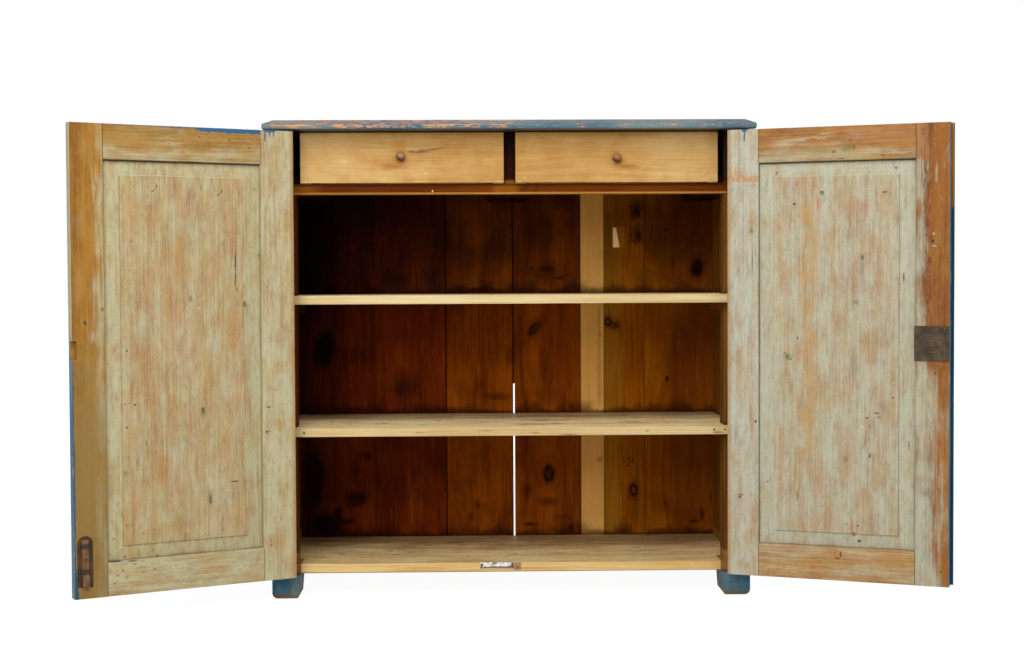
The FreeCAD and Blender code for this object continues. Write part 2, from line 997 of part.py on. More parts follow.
def make_back_planks():
    """Upright planks of different widths; the third seam is open at its foot."""
    edges = (
        ["-places.half_body + sizes.plank_edge_gap"]
        + [f"sizes.{name}" for name in PLANK_EDGES]
        + ["places.half_body - sizes.plank_edge_gap"]
    )
    foot = "sizes.plank_foot"
    head = "places.top_under"
    for number, (left, right) in enumerate(zip(edges, edges[1:]), start=1):
        body = new_body(f"back_plank_{number}")
        outline = rectangle(left, right, foot, head)
        if left == "sizes.plank_edge_third":
            cut = f"{left} + sizes.gap_width"
            outline = [
                (cut, foot),
                (right, foot),
                (right, head),
                (left, head),
                (left, "sizes.gap_top"),
                (cut, "sizes.gap_top"),
            ]
        pad(body, "plank", "y", outline, "places.plank_front", "sizes.body_depth")
        finish(body, "carcass")


# ------------------------------------------------------------------- hinges


def make_leaf(label, side, level, on_door):
    """One leaf: a plate with its knuckles, the door's between the post's two."""
    body = new_body(label)
    # the plate lies beyond the axis on the post and before it on the door
    across = -side if on_door else side
    stand_off = "sizes.hinge_stand_off"
    near = "sizes.leaf_play"
    far = "sizes.leaf_play + sizes.leaf_thickness"
    middle = f"places.{level}_hinge"
    half = "sizes.leaf_height / 2"
    arm = "sizes.leaf_height / 6"
    pad(
        body,
        "plate",
        "z",
        mirrored(across, rectangle(near, far, stand_off, f"{stand_off} + sizes.leaf_width")),
        f"{middle} - {half}",
        f"{middle} + {half}",
    )
    if on_door:
        spans = [(f"{middle} - {arm}", f"{middle} + {arm}")]
    else:
        gap = "2 * sizes.leaf_play"
        spans = [
            (f"{middle} - {half}", f"{middle} - {arm} - {gap}"),
            (f"{middle} + {arm} + {gap}", f"{middle} + {half}"),
        ]
    for number, (low, high) in enumerate(spans, start=1):
        pad(
            body,
            f"arm_{number}",
            "z",
            mirrored(across, rectangle(near, far, "0", f"{stand_off} + sizes.leaf_thickness")),
            low,
            high,
        )
        round_pad(body, f"knuckle_{number}", "z", "sizes.knuckle_radius", low, high)
    play = "sizes.pin_running_play" if on_door else "sizes.pin_fixed_play"
    round_pocket(
        body,
        "bore",
        "z",
        f"sizes.pin_radius + {play}",
        f"{middle} - sizes.leaf_height",
        f"{middle} + sizes.leaf_height",
    )
    return body


def make_hinges():
    """Two butt hinges for each door, with the pins fast in the posts' leaves."""
    post_leaves = []
    pins = []
    for name, side in SIDES.items():
        x = f"{side} * places.hinge_x"
        door_leaves = []
        for level in ("low", "high"):
            leaf = make_leaf(f"{name}_{level}_post_leaf", side, level, on_door=False)
            leaf.setExpression("Placement.Base.x", x)
            leaf.setExpression("Placement.Base.y", "places.hinge_y")
            post_leaves.append(leaf)
            leaf = make_leaf(f"{name}_{level}_door_leaf", side, level, on_door=True)
            place(leaf, f"{name}_door")
            door_leaves.append(leaf)
            pin = new_body(f"{name}_{level}_pin")
            reach = "sizes.leaf_height / 2"
            revolve(
                pin,
                "shank",
                "y",
                [
                    ("0", f"-{reach}"),
                    ("sizes.pin_radius", f"-{reach}"),
                    ("sizes.pin_radius", reach),
                    ("sizes.pin_head_radius", reach),
                    ("sizes.pin_head_radius", f"{reach} + sizes.pin_head_height"),
                    ("0", f"{reach} + sizes.pin_head_height"),
                ],
                ("0", f"places.{level}_hinge"),
            )
            pin.setExpression("Placement.Base.x", x)
            pin.setExpression("Placement.Base.y", "places.hinge_y")
            pins.append(pin)
        group(f"{name}_door_hinge_leaves", door_leaves)
    group("post_hinge_leaves", post_leaves)
    group("hinge_pins", pins)


# -------------------------------------------------------------------- doors


def make_hinge_stile(name, side):
    body = new_body(f"{name}_door_hinge_stile")
    near = "places.edge_near"
    far = f"places.edge_near + sizes.{name}_hinge_stile"
    bed = f"{far} - sizes.groove_depth"
    pad(
        body,
        "stile",
        "z",
        mirrored(
            side,
            [
                (near, "places.face_out"),
                (far, "places.face_out"),
                (far, "places.groove_out"),
                (bed, "places.groove_out"),
                (bed, "places.groove_in"),
                (far, "places.groove_in"),
                (far, "places.face_in"),
                (near, "places.face_in"),
            ],
        ),
        "places.door_low",
        "places.door_high",
    )
    ease_edges(body, "arris", "sizes.arris_radius", long_corners(body, "z"))
    for level in ("low", "high"):
        pocket(
            body,
            f"{level}_leaf_seat",
            "z",
            mirrored(
                side,
                rectangle(
                    f"{near} - sizes.leaf_thickness",
                    f"{near} + places.leaf_mortise",
                    "places.face_out - sizes.leaf_thickness",
                    "places.face_out + sizes.leaf_width",
                ),
            ),
            f"places.{level}_hinge - sizes.leaf_height / 2",
            f"places.{level}_hinge + sizes.leaf_height / 2",
        )
    return body


def make_free_stile(name, side):
    body = new_body(f"{name}_door_free_stile")
    far = f"places.{name}_edge_far"
    near = f"{far} - sizes.{name}_free_stile"
    bed = f"{near} + sizes.groove_depth"
    pad(
        body,
        "stile",
        "z",
        mirrored(
            side,
            [
                (near, "places.face_out"),
                (far, "places.face_out"),
                (far, "places.face_in"),
                (near, "places.face_in"),
                (near, "places.groove_in"),
                (bed, "places.groove_in"),
                (bed, "places.groove_out"),
                (near, "places.groove_out"),
            ],
        ),
        "places.door_low",
        "places.door_high",
    )
    ease_edges(body, "arris", "sizes.arris_radius", long_corners(body, "z"))
    return body


def make_rails(name, side):
    """Top and bottom rail, whose stub tenons fill the ends of the stiles' grooves."""
    near = f"places.edge_near + sizes.{name}_hinge_stile"
    far = f"places.{name}_edge_far - sizes.{name}_free_stile"
    ends = {"top": ("places.high_rail_foot", "places.door_high", 1)}
    ends["bottom"] = ("places.low_rail_top", "places.door_low", -1)
    for part, (inner, outer, up) in ends.items():
        body = new_body(f"{name}_door_{part}_rail")
        bed = f"{inner} + {up} * sizes.groove_depth"
        span = [f"{side} * ({near})", f"{side} * ({far})"]
        tenon = [
            f"{side} * ({near} - sizes.groove_depth)",
            f"{side} * ({far} + sizes.groove_depth)",
        ]
        if side < 0:
            span.reverse()
            tenon.reverse()
        pad(
            body,
            "rail",
            "x",
            [
                ("places.face_out", outer),
                ("places.face_out", inner),
                ("places.groove_out", inner),
                ("places.groove_out", bed),
                ("places.groove_in", bed),
                ("places.groove_in", inner),
                ("places.face_in", inner),
                ("places.face_in", outer),
            ],
            *span,
        )
        ease_edges(body, "arris", "sizes.arris_radius", long_corners(body, "x"))
        pad(
            body,
            "tenons",
            "x",
            [
                ("places.groove_out", outer),
                ("places.groove_out", bed),
                ("places.groove_in", bed),
                ("places.groove_in", outer),
            ],
            *tenon,
        )
        finish(body, f"{name}_door")


def make_panel(name, side):
    """A panel with a raised field inside, bevelled down to the frame's grooves."""
    body = new_body(f"{name}_door_panel")
    near = f"places.edge_near + sizes.{name}_hinge_stile"
    far = f"places.{name}_edge_far - sizes.{name}_free_stile"
    low = "places.low_rail_top"
    high = "places.high_rail_foot"
    tongue = "(sizes.groove_depth - sizes.panel_play)"
    front = "places.groove_out + sizes.panel_play"
    back = "places.groove_in - sizes.panel_play"
    margin = "sizes.panel_side_margin"
    end = "sizes.panel_end_margin"
    crest = f"{back} + sizes.panel_bevel_rise"
    field = rectangle(
        f"{near} + {margin}", f"{far} - {margin}", f"{low} + {end}", f"{high} - {end}"
    )
    pad(
        body,
        "tongue",
        "y",
        mirrored(
            side,
            rectangle(
                f"{near} - {tongue}", f"{far} + {tongue}", f"{low} - {tongue}", f"{high} + {tongue}"
            ),
        ),
        front,
        back,
    )
    sections = []
    for part, outline, height in (
        ("bevel_foot", rectangle(near, far, low, high), back),
        ("bevel_head", field, crest),
    ):
        sketch = new_sketch(body, part, "y", height)
        draw_corners(sketch, mirrored(side, outline))
        sections.append(sketch)
    bevel = body.newObject("PartDesign::AdditiveLoft", f"{body.Name}_bevel")
    bevel.Profile = sections[0]
    bevel.Sections = [sections[1]]
    bevel.Ruled = True
    pad(body, "field", "y", mirrored(side, field), crest, f"{crest} + sizes.panel_field_step")
    finish(body, f"{name}_door")


def make_left_free_stile():
    """The passive door's stile, let in for the flush bolt and the lock's bolt."""
    body = make_free_stile("left", 1)
    plate_outline(body, "Pocket", "bolt_recess", "places.face_in - sizes.bolt_recess_depth",
                  "places.face_in + sizes.bolt_recess_depth")
    far = "places.left_edge_far"
    pocket(
        body,
        "strike",
        "y",
        rectangle(
            f"{far} - sizes.strike_depth",
            f"{far} + sizes.strike_depth",
            "sizes.strike_foot",
            "sizes.strike_foot + sizes.strike_height",
        ),
        "places.face_out + sizes.strike_setback",
        "places.face_in + sizes.strike_depth",
    )
    finish(body, "left_door")


def plate_outline(body, kind, name, low, high):
    """The bolt plate's outline: straight sides under a half-round head."""
    half = "sizes.bolt_plate_width / 2"
    spring = f"places.bolt_plate_head - {half}"
    sketch = new_sketch(body, name, "y", f"(({low}) + ({high})) / 2")
    draw_corners(
        sketch,
        rectangle(
            f"places.bolt_middle - {half}",
            f"places.bolt_middle + {half}",
            "sizes.bolt_plate_foot",
            spring,
        ),
    )
    extrude(body, kind, name, sketch, low, high)
    sketch = new_sketch(body, f"{name}_head", "y", f"(({low}) + ({high})) / 2")
    draw_circle(sketch, half, ("places.bolt_middle", spring))
    extrude(body, kind, f"{name}_head", sketch, low, high)


def make_flush_bolt():
    """A cranked bar that slides on its arched plate under two staples."""
    plate = new_body("flush_bolt_plate")
    bed = "places.face_in - sizes.bolt_recess_depth"
    plate_outline(plate, "Pad", "plate", bed, f"{bed} + sizes.bolt_plate_thickness")
    finish(plate, "left_door")

    guides = []
    half = "sizes.bolt_bar_width / 2 + sizes.bolt_play"
    wall = "sizes.bolt_guide_wall"
    crest = "places.bolt_front + sizes.bolt_play"
    for level in ("low", "high"):
        guide = new_body(f"bolt_guide_{level}")
        foot = f"sizes.bolt_guide_{level}"
        middle = "places.bolt_middle"
        pad(
            guide,
            "staple",
            "z",
            [
                (f"{middle} - ({half}) - {wall}", "places.bolt_back"),
                (f"{middle} - ({half})", "places.bolt_back"),
                (f"{middle} - ({half})", crest),
                (f"{middle} + ({half})", crest),
                (f"{middle} + ({half})", "places.bolt_back"),
                (f"{middle} + ({half}) + {wall}", "places.bolt_back"),
                (f"{middle} + ({half}) + {wall}", f"{crest} + {wall}"),
                (f"{middle} - ({half}) - {wall}", f"{crest} + {wall}"),
            ],
            foot,
            f"{foot} + sizes.bolt_guide_height",
        )
        place(guide, "left_door")
        guides.append(guide)
    group("flush_bolt_guides", guides)

    bar = new_body("flush_bolt_bar")
    offset = "sizes.bolt_crank_offset"
    back = "places.bolt_back + sizes.bolt_play / 2"
    face = "places.bolt_front"
    pad(
        bar,
        "bar",
        "x",
        [
            (back, "places.bolt_crank_high"),
            (f"{back} + {offset}", "places.bolt_crank_low"),
            (f"{back} + {offset}", "places.bolt_tip"),
            (f"{face} + {offset}", "places.bolt_tip"),
            (f"{face} + {offset}", "places.bolt_crank_low + sizes.bolt_bar_thickness / 2"),
            (face, "places.bolt_crank_high + sizes.bolt_bar_thickness / 2"),
            (face, "places.bolt_plate_head - sizes.bolt_bar_head"),
            (back, "places.bolt_plate_head - sizes.bolt_bar_head"),
        ],
        "places.bolt_middle - sizes.bolt_bar_width / 2",
        "places.bolt_middle + sizes.bolt_bar_width / 2",
    )
    lug_head = "sizes.bolt_lug_foot + sizes.bolt_lug_height"
    pad(
        bar,
        "lug",
        "x",
        [
            (face, "sizes.bolt_lug_foot"),
            (f"{face} + sizes.bolt_lug_projection", "sizes.bolt_lug_foot"),
            (f"{face} + sizes.bolt_lug_projection / 2", lug_head),
            (face, lug_head),
        ],
        "places.bolt_middle - sizes.bolt_bar_width / 2",
        "places.bolt_middle + sizes.bolt_bar_width / 2",
    )
    finish(bar, "left_door")


def make_right_free_stile():
    """The active door's stile, cut for the lock's works, its bolt and the key."""
    body = make_free_stile("right", -1)
    far = "places.right_edge_far"
    works_far = f"{far} - sizes.works_edge"
    works_near = f"{works_far} - sizes.works_length"
    pocket(
        body,
        "works",
        "y",
        mirrored(
            -1,
            rectangle(
                works_near,
                works_far,
                "places.lock_middle - sizes.works_height / 2",
                "places.lock_middle + sizes.works_height / 2",
            ),
        ),
        "places.face_in - sizes.works_depth",
        "places.face_in + sizes.works_depth",
    )
    pocket(
        body,
        "bolt_channel",
        "y",
        mirrored(
            -1,
            rectangle(
                works_near,
                f"{far} + sizes.works_edge",
                "places.lock_channel_foot",
                "places.lock_channel_head",
            ),
        ),
        "places.lock_bolt_out - sizes.lock_play",
        "places.face_in + sizes.works_depth",
    )
    keyhole_head = "places.lock_channel_foot - sizes.keyhole_radius"
    round_pocket(
        body,
        "keyhole",
        "y",
        "sizes.keyhole_radius",
        "0",
        "places.face_in",
        ("-places.keyhole_middle", keyhole_head),
    )
    pocket(
        body,
        "keyhole_slot",
        "y",
        mirrored(
            -1,
            rectangle(
                "places.keyhole_middle - sizes.keyhole_slot_width / 2",
                "places.keyhole_middle + sizes.keyhole_slot_width / 2",
                f"{keyhole_head} - sizes.keyhole_slot_drop",
                keyhole_head,
            ),
        ),
        "0",
        "places.face_in",
    )
    finish(body, "right_door")


def make_lock():
    """A nailed-on plate over the works, and the bolt that a key would throw."""
    plate = new_body("lock_plate")
    far = "places.right_edge_far"
    pad(
        plate,
        "plate",
        "y",
        mirrored(
            -1,
            rectangle(
                f"{far} - sizes.lock_plate_width",
                far,
                "sizes.lock_plate_foot",
                "sizes.lock_plate_foot + sizes.lock_plate_height",
            ),
        ),
        "places.face_in",
        "places.face_in + sizes.lock_plate_thickness",
    )
    finish(plate, "right_door")
    bolt = new_body("lock_bolt")
    end = f"{far} - sizes.lock_play"
    foot = "sizes.lock_bolt_foot"
    talon_far = f"{end} - sizes.lock_talon_inset"
    talon_near = f"{talon_far} - sizes.lock_talon_width"
    pad(
        bolt,
        "bolt",
        "y",
        mirrored(
            -1,
            [
                (f"{end} - sizes.lock_bolt_length", foot),
                (talon_near, foot),
                (talon_near, f"{foot} + sizes.lock_talon_depth"),
                (talon_far, f"{foot} + sizes.lock_talon_depth"),
                (talon_far, foot),
                (end, foot),
                (end, f"{foot} + sizes.lock_bolt_height"),
                (f"{end} - sizes.lock_bolt_length", f"{foot} + sizes.lock_bolt_height"),
            ],
        ),
        "places.lock_bolt_out",
        "places.lock_bolt_in",
    )
    finish(bolt, "right_door")


def make_meeting_strip():
    """A rounded cover strip on the right door, which laps the left one."""
    body = new_body("meeting_strip")
    far = "places.right_edge_far"
    face = "places.face_out"
    tip = f"{far} + sizes.strip_lap"
    near = f"{tip} - sizes.strip_width"
    crest = f"{face} - sizes.strip_thickness"
    pad(
        body,
        "strip",
        "z",
        mirrored(
            -1,
            [
                (near, face),
                (far, face),
                (far, f"{face} - sizes.strip_relief"),
                (tip, f"{face} - sizes.strip_relief"),
                (tip, crest),
                (near, crest),
            ],
        ),
        "places.door_low + sizes.strip_end_gap",
        "places.door_high",
    )
    doc.recompute()
    front = body.Tip.Shape.BoundBox.YMin

    def front_arris_upright(edge):
        return runs_along(edge, "z") and abs(edge.CenterOfMass.y - front) < TOUCH

    ease_edges(body, "round", "sizes.strip_round", front_arris_upright)
    finish(body, "right_door")


# ------------------------------------------------------------------ drawers


def make_drawer(name, side):
    """A front, two sides with running strips, a back, a bottom and a knob."""
    inner = "places.drawer_inner"
    outer = "places.drawer_outer"
    wall = "sizes.drawer_side_thickness"
    face = "places.drawer_face"
    front_back = "places.drawer_front_back"
    lap = f"{face} + sizes.drawer_front_thickness - sizes.drawer_front_lap"
    middle = f"(({inner}) + ({outer})) / 2"
    shift = f"{side} * ({middle})"
    lift = "(places.drawer_front_foot + places.drawer_front_head) / 2"
    if name == "left":
        shift = f"{shift} + sizes.left_knob_shift"
    lift = f"{lift} + sizes.{name}_knob_lift"

    front = new_body(f"{name}_drawer_front")
    pad(
        front,
        "front",
        "z",
        mirrored(side, rectangle(inner, outer, face, front_back)),
        "places.drawer_front_foot",
        "places.drawer_front_head",
    )
    ease_edges(front, "arris", "sizes.arris_radius", face_rim(front))
    for part, low, high in (
        ("inner", f"{inner} - {wall}", f"{inner} + {wall}"),
        ("outer", f"{outer} - {wall}", f"{outer} + {wall}"),
    ):
        pocket(
            front,
            f"{part}_lap",
            "z",
            mirrored(side, rectangle(low, high, lap, f"{front_back} + {wall}")),
            f"places.drawer_foot - {wall}",
            "places.drawer_side_head",
        )
    pocket(
        front,
        "bottom_groove",
        "x",
        rectangle(
            f"{front_back} - sizes.drawer_bottom_groove",
            f"{front_back} + sizes.drawer_bottom_groove",
            "places.strip_head",
            "places.drawer_floor",
        ),
        f"{side} * ({middle}) - ({outer})",
        f"{side} * ({middle}) + ({outer})",
    )
    round_pocket(
        front,
        "knob_hole",
        "y",
        "sizes.knob_tenon_radius + sizes.knob_tenon_play",
        f"{face} - {wall}",
        f"{front_back} + {wall}",
        (shift, lift),
    )
    finish(front, "drawers")

    boards = []
    for part, start, away in (("inner", inner, 1), ("outer", outer, -1)):
        body = new_body(f"{name}_drawer_side_{part}")
        strip = f"{start} + {away} * ({wall} + sizes.drawer_strip_width)"
        pad(
            body,
            "section",
            "y",
            mirrored(
                side,
                [
                    (start, "places.drawer_foot"),
                    (strip, "places.drawer_foot"),
                    (strip, "places.strip_head"),
                    (f"{start} + {away} * {wall}", "places.strip_head"),
                    (f"{start} + {away} * {wall}", "places.drawer_side_head"),
                    (start, "places.drawer_side_head"),
                ],
            ),
            lap,
            "places.drawer_end",
        )
        pocket(
            body,
            "front_clearance",
            "y",
            mirrored(
                side,
                rectangle(
                    f"{start} + {away} * {wall}",
                    f"{start} + {away} * ({wall} + 2 * sizes.drawer_strip_width)",
                    "places.drawer_front_foot",
                    "places.drawer_side_head",
                ),
            ),
            f"{lap} - {wall}",
            front_back,
        )
        place(body, "drawers")
        boards.append(body)
    group(f"{name}_drawer_sides", boards)

    back = new_body(f"{name}_drawer_back")
    pad(
        back,
        "back",
        "z",
        mirrored(
            side,
            rectangle(
                f"{inner} + {wall}",
                f"{outer} - {wall}",
                "places.drawer_end - sizes.drawer_back_thickness",
                "places.drawer_end",
            ),
        ),
        "places.drawer_floor",
        "places.drawer_front_head - sizes.drawer_back_drop",
    )
    finish(back, "drawers")

    bottom = new_body(f"{name}_drawer_bottom")
    pad(
        bottom,
        "bottom",
        "z",
        mirrored(
            side,
            rectangle(
                f"{inner} + {wall}",
                f"{outer} - {wall}",
                f"{front_back} - sizes.drawer_bottom_groove",
                "places.drawer_end",
            ),
        ),
        "places.strip_head",
        "places.drawer_floor",
    )
    finish(bottom, "drawers")

    knob = new_body(f"{name}_drawer_knob")
    # the head swells from the neck to its widest ring and closes to a small flat
    neck = f"{face} - sizes.knob_neck_length"
    head = "(sizes.knob_projection - sizes.knob_neck_length)"
    tip = f"{face} - sizes.knob_projection"
    revolve(
        knob,
        "turning",
        "z",
        [
            ("0", front_back),
            ("sizes.knob_tenon_radius", front_back),
            ("sizes.knob_tenon_radius", face),
            ("sizes.knob_neck_radius", face),
            ("sizes.knob_neck_radius", neck),
            ("sizes.knob_radius", f"{neck} - {head} / 3"),
            ("sizes.knob_radius", f"{neck} - {head} / 2"),
            ("sizes.knob_flat_radius", tip),
            ("0", tip),
        ],
        (shift, "0"),
        lift,
    )
    finish(knob, "drawers")


def face_rim(body):
    """Chooses the four edges round a drawer's face."""
    doc.recompute()
    front = body.Tip.Shape.BoundBox.YMin

    def wanted(edge):
        return abs(edge.BoundBox.YMax - front) < TOUCH

    return wanted


# ----------------------------------------------------------------- assembly

make_top_board()
for name, side in SIDES.items():
    make_front_post(name, side)
    make_rear_post(name, side)
    make_side_boards(name, side)
make_bottom_board()
make_keeper()
make_shelf("middle_shelf", "places.middle_under", "sizes.middle_shelf_height")
make_shelf("upper_shelf", "places.upper_under", "sizes.upper_shelf_height")
make_ledges()
make_drawer_rail()
make_drawer_divider()
make_drawer_runners()
make_back_planks()
make_hinges()
# a door is drawn along its own X: to the right of the left hinge axis, and to
# the left of the right one
for name, side in (("left", 1), ("right", -1)):
    finish(make_hinge_stile(name, side), f"{name}_door")
    make_rails(name, side)
    make_panel(name, side)
make_left_free_stile()
make_flush_bolt()
make_right_free_stile()
make_lock()
make_meeting_strip()
for name, side in SIDES.items():
    make_drawer(name, side)

doc.recompute()

# ------------------------------------------------------- checks and writing

for item in doc.Objects:
    if "Invalid" in item.State or "Error" in item.State:
        raise RuntimeError(f"{item.Name} is {item.State}")
for piece in finished:
    if piece.Shape.isNull() or not piece.Shape.isValid():
        raise RuntimeError(f"{piece.Label} has no valid shape")
    if not piece.Shape.Solids:
        raise RuntimeError(f"{piece.Label} has no solid")

os.makedirs("parts", exist_ok=True)
for piece in finished:
    piece.Shape.exportStep(f"parts/{piece.Label}.step")
    box = piece.Shape.BoundBox
    print(
        f"{piece.Label:28s} {len(piece.Shape.Solids)} solid(s) "
        f"x {box.XMin:8.1f} {box.XMax:8.1f}  y {box.YMin:8.1f} {box.YMax:8.1f}  "
        f"z {box.ZMin:8.1f} {box.ZMax:8.1f}  {piece.Shape.Volume / 1000:9.1f} cm3"
    )
print(f"{len(finished)} pieces")
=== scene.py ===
# %% [markdown]
# # A pine jelly cupboard in old blue paint
# The cupboard stands with both doors swung wide and its two drawers not quite home. Outside it
# wears old blue paint, inside the doors a thin grey-green wash, and the shelves, drawers and back
# boards are bare pine that has aged for a century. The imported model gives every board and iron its
# place, so this lesson is about finishes: how to mix pine, worn paint and rusty iron from a few
# nodes each.

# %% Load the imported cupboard
import math

import bmesh
import bpy
from mathutils import Matrix, Vector


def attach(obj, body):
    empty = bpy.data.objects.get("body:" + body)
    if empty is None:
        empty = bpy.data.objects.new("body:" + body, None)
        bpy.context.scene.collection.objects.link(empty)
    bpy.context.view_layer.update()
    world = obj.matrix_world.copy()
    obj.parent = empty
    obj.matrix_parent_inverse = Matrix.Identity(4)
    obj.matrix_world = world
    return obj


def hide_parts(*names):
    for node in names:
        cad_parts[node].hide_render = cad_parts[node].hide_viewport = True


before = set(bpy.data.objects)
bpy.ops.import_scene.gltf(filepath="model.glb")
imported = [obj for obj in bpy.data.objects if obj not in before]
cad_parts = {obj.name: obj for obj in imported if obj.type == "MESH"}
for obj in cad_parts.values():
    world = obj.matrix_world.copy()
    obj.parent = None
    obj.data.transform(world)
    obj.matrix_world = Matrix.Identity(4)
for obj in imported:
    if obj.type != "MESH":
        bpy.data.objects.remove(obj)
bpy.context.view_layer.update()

# %% [markdown]
# ## The camera
# A long lens from about four metres away keeps the uprights of a cupboard nearly parallel, as in a
# catalogue picture. A camera can be aimed by an empty and a constraint, but three small turns
# written as numbers say exactly where it looks, so it is turned by a matrix of its own three
# directions.

# %% Set up the camera
camera = bpy.data.objects.new("camera", bpy.data.cameras.new("camera"))
bpy.context.collection.objects.link(camera)
camera.data.sensor_width = 36
camera.data.lens = 59.39
camera.data.clip_end = 60


def aim(turn, tip, lean):
    """A camera's turn: to the right, down, and its small lean on its own axis, in radians."""
    ahead = Vector((math.sin(turn) * math.cos(tip), math.cos(turn) * math.cos(tip), -math.sin(tip)))
    level = Vector((math.cos(turn), -math.sin(turn), 0))
    above = level.cross(ahead)
    side = math.cos(lean) * level - math.sin(lean) * above
    top = math.sin(lean) * level + math.cos(lean) * above
    return Matrix((side, top, -ahead)).transposed().to_euler()


camera.location = (-0.09266, -4.13196, 0.76584)
camera.rotation_euler = aim(0.02365, 0.03404, 0.0048)
bpy.context.scene.camera = camera
print("camera at", tuple(camera.location), "turned", tuple(camera.rotation_euler))

# %% [markdown]
# ## Mixing a finish
# Every finish is a small net of nodes. Wired one by one they fill pages, so what a node hands on
# is kept as an Outlet: adding, multiplying or ramping outlets adds the node that does it and gives
# the next outlet. A colour is written as it looks on the wood, 0 to 255, and whatever takes a
# colour turns it into the linear light that shaders expect.

# %% Start a finish
def tone(red, green, blue):
    """A colour as the eye names it, in the linear form that a shader takes."""
    linear = [c / 3294.6 if c <= 10 else ((c / 255 + 0.055) / 1.055) ** 2.4
              for c in (red, green, blue)]
    return (*linear, 1)


def feed(socket, value):
    """Wires an outlet to an inlet, or sets the inlet to a number, a vector or a colour."""
    if isinstance(value, Outlet):
        value.tree.links.new(value.socket, socket)
    else:
        socket.default_value = tone(*value) if socket.type == "RGBA" else value


def fill(node, inlets):
    """Feeds several inlets, which go by name or by number."""
    for name, value in inlets.items():
        feed(node.inputs[name], value)


def add(tree, kind, *values, **settings):
    """A new node, with its settings made and its first inlets fed."""
    node = tree.nodes.new(kind)
    for name, value in settings.items():
        setattr(node, name, value)
    for socket, value in zip(node.inputs, values):
        feed(socket, value)
    return node


class Outlet:
    """What a node hands on. Each operation on it adds a node and hands back that node's outlet."""

    def __init__(self, socket):
        self.socket, self.tree = socket, socket.id_data

    def to(self, kind, *values, **settings):
        return Outlet(add(self.tree, kind, self, *values, **settings).outputs[0])

    def math(self, operation, *values):
        kind = "ShaderNodeMath" if self.socket.type == "VALUE" else "ShaderNodeVectorMath"
        return Outlet(add(self.tree, kind, *values, operation=operation).outputs[0])

    def __add__(self, other):
        return self.math("ADD", self, other)

    def __sub__(self, other):
        return self.math("SUBTRACT", self, other)

    def __rsub__(self, other):
        return self.math("SUBTRACT", other, self)

    def __mul__(self, other):
        return self.math("MULTIPLY", self, other)

    def __truediv__(self, other):
        return self.math("DIVIDE", self, other)

    def __abs__(self):
        return self.math("ABSOLUTE", self)

    def least(self, other):
        return self.math("MINIMUM", self, other)

    def most(self, other):
        return self.math("MAXIMUM", self, other)

    def fraction(self):
        return self.math("FRACT", self)

    def length(self):
        return Outlet(add(self.tree, "ShaderNodeVectorMath", self,
                          operation="LENGTH").outputs["Value"])

    def ramp(self, start, end, low=0, high=1):
        """Low before start, high past end, and a smooth slope between them."""
        return self.to("ShaderNodeMapRange", start, end, low, high, interpolation_type="SMOOTHSTEP")

    def cloud(self, size, detail=3, rough=0.5):
        """Soft uneven grey from 0 to 1, in blotches of one size, or of two: across and along."""
        place = self
        if isinstance(size, tuple):
            across, along = size
            place, size = self * (1 / across, 1 / across, 1 / along), 1
        noise = add(self.tree, "ShaderNodeTexNoise", place)
        fill(noise, {"Scale": 1 / size, "Detail": detail, "Roughness": rough})
        return Outlet(noise.outputs[0])

    def stain(self, mask, tint, strength=1):
        """Lays a tint over this colour, inside a mask."""
        return mix(mask * strength, self, tint)


def mix(mask, under, over):
    """Under where the mask is 0, over where it is 1."""
    tree = next(value.tree for value in (mask, under, over) if isinstance(value, Outlet))
    node = add(tree, "ShaderNodeMix", data_type="RGBA")
    fill(node, {0: mask, 6: under, 7: over})
    return Outlet(node.outputs[2])


class Finish:
    """One finish while it is mixed: its material, its net, and where its patterns start from."""

    def __init__(self, name):
        self.material = bpy.data.materials.new(name)
        self.material.use_nodes = True
        self.tree = self.material.node_tree
        self.where = Outlet(add(self.tree, "ShaderNodeTexCoord").outputs["Object"])


print("pale pine in linear light:", [round(c, 3) for c in tone(215, 180, 110)])

# %% [markdown]
# ## Where a finish is
# A board's pattern has to stay on the board when its door swings, so everything is measured in
# object coordinates. Each door gets a Mapping node that stands on its hinge line and turns with
# it: x then runs across the door from the hinge, y through its thickness and z up, and both doors
# count x from the hinge outwards. A second Mapping node lays the board down, so that z runs along
# the grain, whichever way the board was cut. The functions call a finish at, for its places are
# what they ask for.

# %% Stand on the cupboard or on a hinge line
PLACES = {
    "carcass": ((0, 0, 0), 0),
    "left_door": ((-0.52625, -0.09636, 0), math.radians(-151)),
    "right_door": ((0.52625, -0.09636, 0), math.radians(157)),
}
LAYS = {"up": (0, 0), "across": (0, math.pi / 2), "back": (-math.pi / 2, 0)}


def wood_finish(name, place="carcass", lay="up"):
    """A finish with its measuring points: face for marks, grain for what runs along the board."""
    at = Finish(name)
    origin, turn = PLACES[place]
    at.face = at.where.to("ShaderNodeMapping", origin, (0, 0, turn), vector_type="TEXTURE")
    if place != "carcass":
        at.face = abs(at.face)
    at.grain = at.where.to("ShaderNodeMapping", origin, (*LAYS[lay], turn), vector_type="TEXTURE")
    at.x, at.y, at.z = map(Outlet, add(at.tree, "ShaderNodeSeparateXYZ", at.face).outputs)
    return at


print("doors stand open at", [round(math.degrees(turn)) for _, turn in PLACES.values()])

# %% [markdown]
# ## Marks in their places
# Knots, nail holes, stains and drips sit where they sit. Each is a stretched ball round a point of
# the face: a Mapping node moves that point to the middle, turns it and shrinks it until the mark's
# rim is one unit away. The nearest of several balls wins, so one mask carries all the marks of one
# colour, and a cloud pushes the face about so that none is a clean oval.

